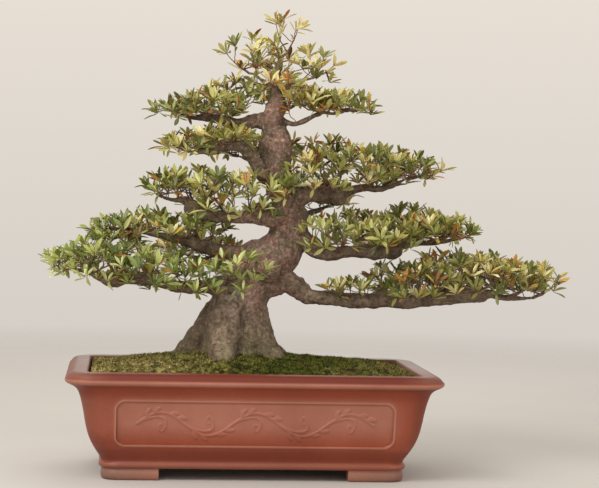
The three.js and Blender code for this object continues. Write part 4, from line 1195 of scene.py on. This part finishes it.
SHOOT_AREA = 470  # one shoot on a dome for so many square millimetres of it seen from above
INNER_SHARE = 0.85  # shoots inside and below the dome, for each one on it
INNER_CANDIDATES = 6
INNER_CORE = 0.25  # inner shoots keep this far from the dome's upright axis, against its size
INNER_RISE = 8  # the lowest inner shoots' height above their limb
INNER_DROOP = 0.1  # and how much lower they hang for each millimetre out from the limb
HANGING = {"left_1": 0.42, "left_3": 0.3}  # the same for limbs that wear their leaves low
THIN = {"leader": 1.5, "leader_left": 1.6, "leader_right": 1.6}  # how much sparser crowns are
LIMB_REACH = (-1.3, -0.9, -0.5, -0.2, 0.2, 0.5, 0.9)  # where on the limb their twigs may start
WOOD_CLEARANCE = 2.5
TURNING = (0.1, 0.03)  # share of yellow and red leaves low and high on a shoot
TURNING_SHOOTS = 0.14  # share of shoots most of whose leaves are turning
CANDIDATES = 12  # places tried for each shoot, of which the loneliest is kept
SHELL_START = 0.72  # shoots on a dome keep this far from its middle, against its size
DOME_BELOW = 0.2  # how far a dome reaches below its middle, against its half height
FIRST_TIP_RISE = 0.2  # the first twig ends this far up the dome
LOOK_BACK = 1.5  # how far back along its limb a spray's direction is taken from
TWIG_JOINTS = (0.4, 0.7)  # places along a twig where others may start
RUN_COST = 0.35  # how much the way already run counts against a new start
BEND_ALONG = 0.55  # a twig's bend: how far out, and how much of the rise is done there
BEND_RISE = 0.12
AXIS_LEAN = 0.75  # how much a shoot leans outwards
GROWTH_SEED = 101
LOOKS_SEED = 9000
# How much greener than the rest the leaves of some limbs are.
LIMB_LUSH = {"left_1": 0.95, "left_2": 0.5, "left_3": 0.45, "left_5": 0.15, "right_2": 0.2}
# How many leaves the shoots of some limbs bear, against the rest.
LIMB_LEAVES = {"left_2": 0.68}
# How much older or younger than the rest the leaves of some limbs are.
LIMB_AGE = {
    "leader": 0.14, "leader_left": 0.1, "leader_right": 0.12, "right_1": -0.02,
    "right_2": -0.04, "right_3": -0.02,
}

TWIG_SIDES = 6
TWIG_STEPS = 7
TIP_RADIUS = 0.7  # a twig that carries one shoot
TWIG_NORMAL = (0.3, 1.0, 0.2)
CROOKED = 0.07  # how far a twig strays from its curve, against its length
MOST_CROOKED = 3.4  # and no further than this

LEAF_LENGTH = (18, 29)
LEAF_SLIMNESS = 0.14  # half width against length
LEAF_ROWS = ((0.1, 0.22), (0.3, 0.68), (0.53, 1.0), (0.75, 0.87), (0.92, 0.42))  # place, width
LEAF_FOLD = 0.34  # how far a leaf's edges rise above its midrib, against its half width
LEAF_THICKNESS = 0.5
LEAF_BEND = (-0.2, 0.1)  # how far a leaf's tip turns down or up, against its length
LEAF_LIFT = (0.3, 1.2)
LEAF_TURN = 2.4  # the angle from one leaf of a whorl to the next
WHORL_LEAVES = (5, 4)  # the fewest in a whorl, and how many different numbers there are
STEM_LEAVES = 3  # at most so many stand along a twig below its end
OLDEST_GREEN = 0.76  # the highest age of a leaf that isn't turning
TURNED = (0.78, 1.0)
BUD_LENGTH = 4.4
BUD_ROWS = ((-0.15, 0.5), (0.2, 1.1), (0.5, 1.0), (0.8, 0.55), (1.0, 0.12))  # place, radius


def limb_point(name, at):
    points = LIMBS[name]
    i = min(int(at), len(points) - 2)
    return mix(np.array(points[i][:3], float), np.array(points[i + 1][:3], float), at - i)


def dome_point(centre, half, draw):
    angle = 2 * math.pi * draw()
    rise = mix(-DOME_BELOW, 1, draw())
    shell = mix(SHELL_START, 1, draw())
    flat = math.sqrt(max(0.0, 1 - rise * rise)) * shell
    return centre + np.array([math.cos(angle) * flat, math.sin(angle) * flat, rise * shell]) * half


def bezier(start, bend, end, t):
    return (1 - t) ** 2 * start + 2 * t * (1 - t) * bend + t * t * end


def clear_of_wood(point):
    """Whether a point stands clear of the trunk and limbs."""
    starts, ends, sizes, _ = WOOD_AXES
    along = ends - starts
    t = np.clip(((point - starts) * along).sum(1) / (along * along).sum(1), 0, 1)
    gap = np.linalg.norm(starts + t[:, None] * along - point, axis=1)
    return bool((gap > mix(sizes[:, 0], sizes[:, 1], t) + WOOD_CLEARANCE).all())


def loneliest_place(choices, twigs):
    """Of the places chosen from, the one furthest from any shoot there is."""
    best, tip = -1.0, None
    for spot in choices:
        nearest = min(math.dist(spot, twig["tip"]) for twig in twigs)
        if nearest > best:
            best, tip = nearest, spot
    return tip


def inner_point(centre, half, low, draw):
    """A place under or inside the dome, whose foot spreads as wide as the dome."""
    height = draw()
    angle = 2 * math.pi * draw()
    flat = math.sqrt(1 - 0.8 * height * height) * mix(INNER_CORE, 1, draw())
    z = mix(low, centre[2] + half[2] * 0.8, height)
    return np.array([
        centre[0] + math.cos(angle) * flat * half[0], centre[1] + math.sin(angle) * flat * half[1], z,
    ])


def grow_twigs(spray, dome_shoots, inner_shoots, seed):
    """Where each shoot of a spray ends, and the twig that carries it there.

    The first reaches the dome's far edge. Each later one starts from the nearest twig, and those
    inside the dome may also start from the limb."""
    limb, at, middle, halves = spray
    draw = seeded(seed)
    base = limb_point(limb, at)
    behind = limb_point(limb, max(0, at - LOOK_BACK))
    centre = np.array(middle, float)
    half = np.array(halves, float)
    last = len(LIMBS[limb]) - 1
    low = base[2] + INNER_RISE - HANGING.get(limb, INNER_DROOP) * abs(centre[1] - base[1])
    low = min(low, centre[2] - half[2] * 0.6)
    nodes = []  # joints where later twigs may start: point, run, twig, place along it
    twigs = []
    for n in range(dome_shoots + inner_shoots):
        if n == 0:
            away = centre - behind
            away[2] = 0
            away = unit(away)
            away[2] = FIRST_TIP_RISE
            tip = centre + away * half
        elif n < dome_shoots:
            tip = loneliest_place([dome_point(centre, half, draw) for _ in range(CANDIDATES)], twigs)
        else:
            choices = [inner_point(centre, half, low, draw) for _ in range(INNER_CANDIDATES)]
            tip = loneliest_place(choices, twigs)
        if n == dome_shoots:
            for step in LIMB_REACH:
                nodes.append((limb_point(limb, min(last, max(0.6, at + step))), 0.0, None, 0.0))
        start, run, parent, joint = base, 0.0, None, 0.0
        least = math.inf
        for point, node_run, owner, t in nodes:
            cost = math.dist(point, tip) + RUN_COST * node_run
            if cost < least:
                least = cost
                start, run, parent, joint = point, node_run, owner, t
        if not clear_of_wood(tip):
            continue
        bend = mix(start, tip, BEND_ALONG)
        bend[2] = mix(start[2], tip[2], BEND_RISE)
        end_run = run + math.dist(start, tip)
        twig = {
            "start": start, "bend": bend, "tip": tip, "parent": parent, "joint": joint,
            "axis": unit(((tip - centre) / half) * (AXIS_LEAN, AXIS_LEAN, 0) + UP),
        }
        for t in TWIG_JOINTS:
            nodes.append((bezier(start, bend, tip, t), mix(run, end_run, t), len(twigs), t))
        twigs.append(twig)
    return twigs


def carried(twigs):
    """For each twig, the shoots it carries past its start and past each joint where one leaves."""
    loads = [[(1.0, 1.0)] for _ in twigs]
    for n in reversed(range(len(twigs))):
        total = sum(load for _, load in loads[n])
        parent = twigs[n]["parent"]
        if parent is not None:
            loads[parent].append((twigs[n]["joint"], total))
    return loads


def twig_shell(twig, loads, draw):
    """A thin, slightly crooked tube that slims where its side twigs leave it."""
    steps = np.linspace(0, 1, TWIG_STEPS)
    rows = np.empty((TWIG_STEPS, 5))
    for row, t in zip(rows, steps):
        row[:3] = bezier(twig["start"], twig["bend"], twig["tip"], t)
        row[3:] = TIP_RADIUS * math.sqrt(sum(load for joint, load in loads if joint >= t - 1e-6))
    crooked = min(CROOKED * math.dist(twig["start"], twig["tip"]), MOST_CROOKED)
    for row in rows[1:-1]:
        row[:3] += crooked * np.array([draw() - 0.5, draw() - 0.5, draw() - 0.5])
    return tube(rows, TWIG_SIDES, TWIG_NORMAL)


def leaf_template():
    """A leaf along x: each point's place along it, its side from -1 to 1 and whether it is under.

    Each row is left edge, upper midrib, right edge, lower midrib, so the blade is a thin closed
    body that can fold along its midrib."""
    points = [(0.0, 0.0, 0.0)]
    for t, width in LEAF_ROWS:
        points += [(t, width, 0.0), (t, 0.0, 0.0), (t, -width, 0.0), (t, 0.0, 1.0)]
    points.append((1.0, 0.0, 0.0))
    end = len(points) - 1
    faces = [(0, 1 + (k + 1) % 4, 1 + k) for k in range(4)]
    for low in range(1, end - 4, 4):
        for k in range(4):
            beside = low + (k + 1) % 4
            faces.append((low + k, beside, beside + 4, low + k + 4))
    faces += [(end - 4 + k, end - 4 + (k + 1) % 4, end) for k in range(4)]
    return np.array(points), faces


LEAF_PLAN, LEAF_FACES = leaf_template()
LEAF_ALONG = LEAF_PLAN[:, 0]
LEAF_ACROSS = np.abs(LEAF_PLAN[:, 1])


def leaf_points(root, along, across, length, slimness, bend):
    """The template laid out from its root, in millimetres."""
    face = np.cross(along, across)
    half_width = length * slimness
    x = LEAF_ALONG * length
    y = LEAF_PLAN[:, 1] * half_width
    z = LEAF_FOLD * np.abs(y) + bend * LEAF_ALONG**2 * length - LEAF_PLAN[:, 2] * LEAF_THICKNESS
    return root + x[:, None] * along + y[:, None] * across + z[:, None] * face


def inside_box(points):
    return bool((points > BOX_LOW + 0.2).all() and (points < BOX_HIGH - 0.2).all())


def leaf_age(draw, shoot_age, chance):
    """0 for a dark leaf, about 0.5 for a fresh one, over 0.8 for one that is turning."""
    if draw() < chance:
        return mix(*TURNED, draw())
    return min(OLDEST_GREEN, max(0.0, shoot_age + 0.36 * (draw() - 0.5)))


def one_leaf(draw, root, axis, out, lift, scale):
    """A leaf that leaves its stem in the direction out, raised by lift towards the axis."""
    along = math.cos(lift) * out + math.sin(lift) * axis
    across = np.cross(axis, out) + 0.7 * (draw() - 0.5) * axis
    across = unit(across - (across @ along) * along)
    return leaf_points(
        root, along, across, mix(*LEAF_LENGTH, draw()) * scale,
        LEAF_SLIMNESS * mix(0.85, 1.2, draw()), mix(*LEAF_BEND, draw()),
    )


def shoot_leaves(twig, limb, draw):
    """A shoot's leaves: a whorl at its end, younger ones more upright, and a few below it."""
    axis = twig["axis"]
    first = unit(np.cross(axis, (0.3, 1.0, 0.1)))
    second = np.cross(axis, first)
    fewest, numbers = WHORL_LEAVES
    count = round((fewest + int(numbers * draw())) * LIMB_LEAVES.get(limb, 1))
    twist = 2 * math.pi * draw()
    shoot_age = mix(0.04, 0.7, draw()) + LIMB_AGE.get(limb, 0)
    turning = (0.75, 0.4) if draw() < TURNING_SHOOTS else TURNING
    leaves = []
    for k in range(count):
        inner = k / count
        angle = twist + k * LEAF_TURN + 0.5 * (draw() - 0.5)
        out = math.cos(angle) * first + math.sin(angle) * second
        lift = mix(*LEAF_LIFT, min(1, 0.7 * inner + 0.45 * draw()))
        root = twig["tip"] + axis * (inner * 2.6 - 1.2) + out * 0.5
        points = one_leaf(draw, root, axis, out, lift, mix(1.04, 0.74, inner))
        leaves.append((points, leaf_age(draw, shoot_age, turning[0] if k < 3 else turning[1])))
    for _ in range(int((STEM_LEAVES + 1) * draw())):
        t = mix(0.6, 0.94, draw())
        root = bezier(twig["start"], twig["bend"], twig["tip"], t)
        way = unit(twig["tip"] - root)
        angle = 2 * math.pi * draw()
        out = unit(np.cross(way, (math.cos(angle), math.sin(angle), 0.2)) + 0.3 * UP)
        points = one_leaf(draw, root, way, out, mix(0.2, 0.9, draw()), 0.85)
        leaves.append((points, leaf_age(draw, shoot_age, turning[0])))
    return [(points, age) for points, age in leaves if inside_box(points)]


def bud_shell(twig):
    """The plump winter bud in the middle of a whorl."""
    rows = [(*(twig["tip"] + twig["axis"] * BUD_LENGTH * t), r, r) for t, r in BUD_ROWS]
    return tube(np.array(rows), TWIG_SIDES, TWIG_NORMAL)


def spray_parts(number, spray):
    """Every twig, bud and leaf of a spray: its shell, the place of its material in the spray's
    list, and its leaf's age."""
    limb, _, _, halves = spray
    shoots = max(4, round(math.pi * halves[0] * halves[1] / (SHOOT_AREA * THIN.get(limb, 1))))
    twigs = grow_twigs(spray, shoots, round(shoots * INNER_SHARE), GROWTH_SEED + number)
    draw = seeded(LOOKS_SEED + number)
    for twig, load in zip(twigs, carried(twigs)):
        yield twig_shell(twig, load, draw), 1, None
        yield bud_shell(twig), 2, None
        for leaf, age in shoot_leaves(twig, limb, draw):
            yield (leaf, LEAF_FACES), 0, age


def make_spray(number, spray):
    shells, slots, marks = [], [], []
    for shell, slot, age in spray_parts(number, spray):
        shells.append(shell)
        slots += [slot] * len(shell[1])
        mark = np.zeros((3, len(shell[0])))
        if age is not None:
            mark[:] = np.full(len(LEAF_PLAN), age), LEAF_ACROSS, LEAF_ALONG
        marks.append(mark)
    name = f"spray_{number + 1:02d}"
    piece = new_piece(f"{name}_leaves", *gather(shells), [LEAF, TWIG, BUD])
    piece.data.polygons.foreach_set("material_index", slots)
    for label, values in zip(("age", "across", "along"), np.hstack(marks)):
        paint(piece, label, values)
    paint(piece, "lush", np.full(len(piece.data.vertices), LIMB_LUSH.get(spray[0], 0)))
    shade(piece, sharp_from=70)
    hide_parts(name)
    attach(piece, "root")


# ---------------------------------------------------------------- soil and moss

SOIL_EDGE = 155
CROWN_HEIGHT = 14  # how much the whole bed rises from its walls to its middle
MOUND_HEIGHT = 18  # and the further rise up to the tree
MOUND_SPREAD = (100, 80)
TREE_FOOT = (-29, 0)
BED_HALF_LENGTH = 248
BED_HALF_DEPTH = inner_half_depth(BED_HALF_LENGTH)
MOSS_THICKNESS = 3.1
# The mat's swells and dents: how far they stand in or out, their size, seed and layers.
MOSS_FORMS = ((1.6, 26, 61, 3), (1.3, 11, 67, 1), (0.6, 4.5, 71, 1))
MOSS_STEP = 2.8
MOSS_EDGE = 6  # the mat thins out over this distance from the wall
TOE = (-47, -104, 34, 22)  # the front root's end: its middle, and how far moss creeps up it
TOE_COLLAR = 5.5
MAT_TONE = 0.18
TUFT_SEED = 4242
TUFTS = 26000
TUFT_RADIUS = (0.7, 1.4)
TUFT_HEIGHT = (1.4, 4.2)
TUFT_LEAN = 3.4


def mound(x, y):
    dx = (x - TREE_FOOT[0]) / MOUND_SPREAD[0]
    dy = (y - TREE_FOOT[1]) / MOUND_SPREAD[1]
    bed = np.clip(1 - (x / BED_HALF_LENGTH) ** 4, 0, 1) * np.clip(1 - (y / BED_HALF_DEPTH) ** 4, 0, 1)
    return CROWN_HEIGHT * bed + MOUND_HEIGHT * np.exp(-(dx * dx + dy * dy))


def wall_gap(x, y):
    """Distance in from the edge of the bed."""
    dx = np.abs(x) - (BED_HALF_LENGTH - INNER_CORNER)
    dy = np.abs(y) - (BED_HALF_DEPTH - INNER_CORNER)
    outside = np.hypot(np.maximum(dx, 0), np.maximum(dy, 0))
    return INNER_CORNER - outside - np.minimum(np.maximum(dx, dy), 0)


def moss_height(x, y):
    spots = np.stack([x, y, np.zeros_like(x)], -1)
    thick = MOSS_THICKNESS
    for proud, size, seed, layers in MOSS_FORMS:
        thick = thick + proud * layered_lumps(spots, size, seed, layers)
    thick = thick * smooth_step(-1, MOSS_EDGE, wall_gap(x, y))
    return SOIL_EDGE + mound(x, y) + np.maximum(thick, 0.2) + TOE_COLLAR * spot_share(x, y, TOE)


def moss_dryness(x, y):
    spots = np.stack([x, y, np.zeros_like(x)], -1)
    patchy = layered_lumps(spots, 60, 83, 2)
    return np.clip(smooth_step(20, -195, x) + 0.36 * smooth_step(70, 210, x) + 0.35 * patchy, 0, 1)


def tuft_shells():
    """Little leaning shoots that stand out of the mat, and each one's tone for each of its points."""
    draw = seeded(TUFT_SEED)
    spots = np.array([[draw() for _ in range(6)] for _ in range(TUFTS)])
    spots[:, :2] = (2 * spots[:, :2] - 1) * (BED_HALF_LENGTH, BED_HALF_DEPTH)
    spots = spots[wall_gap(spots[:, 0], spots[:, 1]) > 2]
    x, y, size, lean, turn, tone = spots.T
    z = moss_height(x, y)
    radius = mix(*TUFT_RADIUS, size)
    height = mix(*TUFT_HEIGHT, size * size)
    corners = []
    for k in range(3):
        angle = 2 * math.pi * (turn + k / 3)
        corners.append(np.stack([x + radius * np.cos(angle), y + radius * np.sin(angle), z - 0.9], -1))
    way = 2 * math.pi * (turn * 7 % 1)
    lean = TUFT_LEAN * lean
    corners.append(np.stack([x + lean * np.cos(way), y + lean * np.sin(way), z + height], -1))
    points = np.stack(corners, 1).reshape(-1, 3)
    starts = 4 * np.arange(len(spots))[:, None, None]
    faces = (starts + np.array([(0, 1, 3), (1, 2, 3), (2, 0, 3), (0, 2, 1)])).reshape(-1, 3).tolist()
    root_tone = 0.25 * tone
    return points, faces, np.stack([root_tone, root_tone, root_tone, 0.25 + 0.75 * tone], -1).ravel()


def bed_grid():
    """A grid of places over the bed, drawn in at its round corners, and its rows and columns."""
    half = np.array([BED_HALF_LENGTH, BED_HALF_DEPTH])
    columns, rows = (round(2 * reach / MOSS_STEP) for reach in half)
    places = np.meshgrid(np.linspace(-1, 1, columns), np.linspace(-1, 1, rows))
    spots = np.stack(places, -1).reshape(-1, 2) * half
    straight = half - INNER_CORNER
    corner = np.maximum(np.abs(spots) - straight, 0)
    over = np.maximum(np.hypot(*corner.T) / INNER_CORNER, 1)[:, None]
    drawn_in = np.sign(spots) * (straight + corner / over)
    return np.where(over > 1, drawn_in, spots).T, rows, columns


def mat_shell():
    """The mat as a thin closed body: its top, its underside and the walls round them."""
    (x, y), rows, columns = bed_grid()
    top = np.column_stack([x, y, moss_height(x, y)])
    under = np.column_stack([x, y, SOIL_EDGE + mound(x, y) + 0.1])
    count = rows * columns
    faces = grid_faces(rows, columns, closed=False)
    faces += [[i + count for i in face[::-1]] for face in faces]
    places = np.arange(count).reshape(rows, columns)
    rim = [*places[0], *places[1:, -1], *places[-1, -2::-1], *places[-2:0:-1, 0]]
    rim = [int(i) for i in rim]
    faces += [[b, a, a + count, b + count] for a, b in zip(rim, rim[1:] + rim[:1])]
    return np.vstack([top, under]), faces


def make_moss():
    mat = mat_shell()
    tuft_points, tuft_faces, tuft_tones = tuft_shells()
    piece = new_piece("moss_mat", *gather([mat, (tuft_points, tuft_faces)]), [MOSS])
    shade(piece, sharp_from=65)
    paint(piece, "tone", np.concatenate([np.full(len(mat[0]), MAT_TONE), tuft_tones]))
    paint(piece, "dry", moss_dryness(*points_of(piece)[:, :2].T))
    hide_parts("moss")
    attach(piece, "root")


def finish_hidden_nodes():
    """The CAD's own soil and drain screens stay, with their materials."""
    for name, material in (("soil", SOIL), ("drain_screen_left", SCREEN), ("drain_screen_right", SCREEN)):
        mesh = frame["nodes"][name].data
        mesh.materials.clear()
        mesh.materials.append(material)


# ---------------------------------------------------------------- stage and light

FLOOR_RADIUS = 3400
FLOOR_FADE = (900, 3200)  # the floor melts into the background between these distances
FLOOR_SIDES = 96
FLOOR_HEIGHT = -0.3  # just under the feet
BACKGROUND = ((208, 202, 195), (234, 226, 215))  # low and high
HORIZON = (-0.12, 0.14)  # the height of the view between which one turns into the other


def floor_material():
    s = Shader("floor")
    where = s.where()
    base = s.ramp(s.noise(where, 3.0, 3.0), [(0.3, (185, 182, 178)), (0.7, (190, 186, 181))])
    s.finish(Base_Color=base, Roughness=0.75, Specular_IOR_Level=0.2)
    length = s.node("ShaderNodeVectorMath", {"operation": "LENGTH"}, Vector=where).outputs["Value"]
    fade = s.range(length, FLOOR_FADE[0] / 1000, FLOOR_FADE[1] / 1000)
    return s.share_surface(fade, s.node("ShaderNodeBsdfTransparent"))


def make_floor():
    turns = np.linspace(0, 2 * math.pi, FLOOR_SIDES, endpoint=False)
    x, y = FLOOR_RADIUS * np.cos(turns), FLOOR_RADIUS * np.sin(turns)
    rim = np.column_stack([x, y, np.full(FLOOR_SIDES, FLOOR_HEIGHT)])
    floor = new_piece("floor", rim, [list(range(FLOOR_SIDES))], [floor_material()])
    floor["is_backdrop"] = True


def make_room():
    """The plain background, paler towards its top."""
    world = bpy.data.worlds.new("room")
    world.use_nodes = True
    s = Nodes(world.node_tree)
    view = s.node("ShaderNodeTexCoord").outputs["Generated"]
    height = s.node("ShaderNodeSeparateXYZ", Vector=view).outputs["Z"]
    background = s.tree.nodes["Background"].inputs
    s.feed(background["Color"], s.ramp(s.range(height, *HORIZON), list(enumerate(BACKGROUND))))
    s.feed(background["Strength"], 1.0)
    bpy.context.scene.world = world


def soft_light(name, spot, target, size, power, tint):
    data = bpy.data.lights.new(name, "AREA")
    data.shape = "SQUARE"
    data.size = size / 1000
    data.energy = power
    data.color = tint
    lamp = bpy.data.objects.new(name, data)
    bpy.context.scene.collection.objects.link(lamp)
    here = Vector(place(spot).tolist())
    aim = Vector(place(target).tolist()) - here
    lamp.matrix_world = Matrix.Translation(here) @ aim.to_track_quat("-Z", "Y").to_matrix().to_4x4()


def make_lights():
    heart = (40, 0, 330)
    soft_light("key", (-1080, -1180, 1680), heart, 1100, 33, (1.0, 0.98, 0.95))
    soft_light("fill", (-560, -1520, 600), (-60, 0, 200), 640, 3.3, (1.0, 0.97, 0.95))
    soft_light("window", (1700, -1780, 400), (230, -150, 95), 500, 5.3, (0.93, 0.95, 1.0))
    soft_light("side", (1900, -700, 1500), heart, 1200, 3.5, (1.0, 0.97, 0.93))
    soft_light("rear", (300, 1700, 1500), heart, 1500, 12, (1.0, 0.98, 0.96))


# ---------------------------------------------------------------- assembly

bpy.context.scene.view_settings.view_transform = "Standard"
make_floor()
make_room()
make_lights()
make_pot()
make_wood()
make_moss()
finish_hidden_nodes()
for number, spray in enumerate(SPRAYS):
    make_spray(number, spray)

boxes = {"cad": cad_bounds, "visual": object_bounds()}
{name: [list(corner) for corner in box] for name, box in boxes.items()}
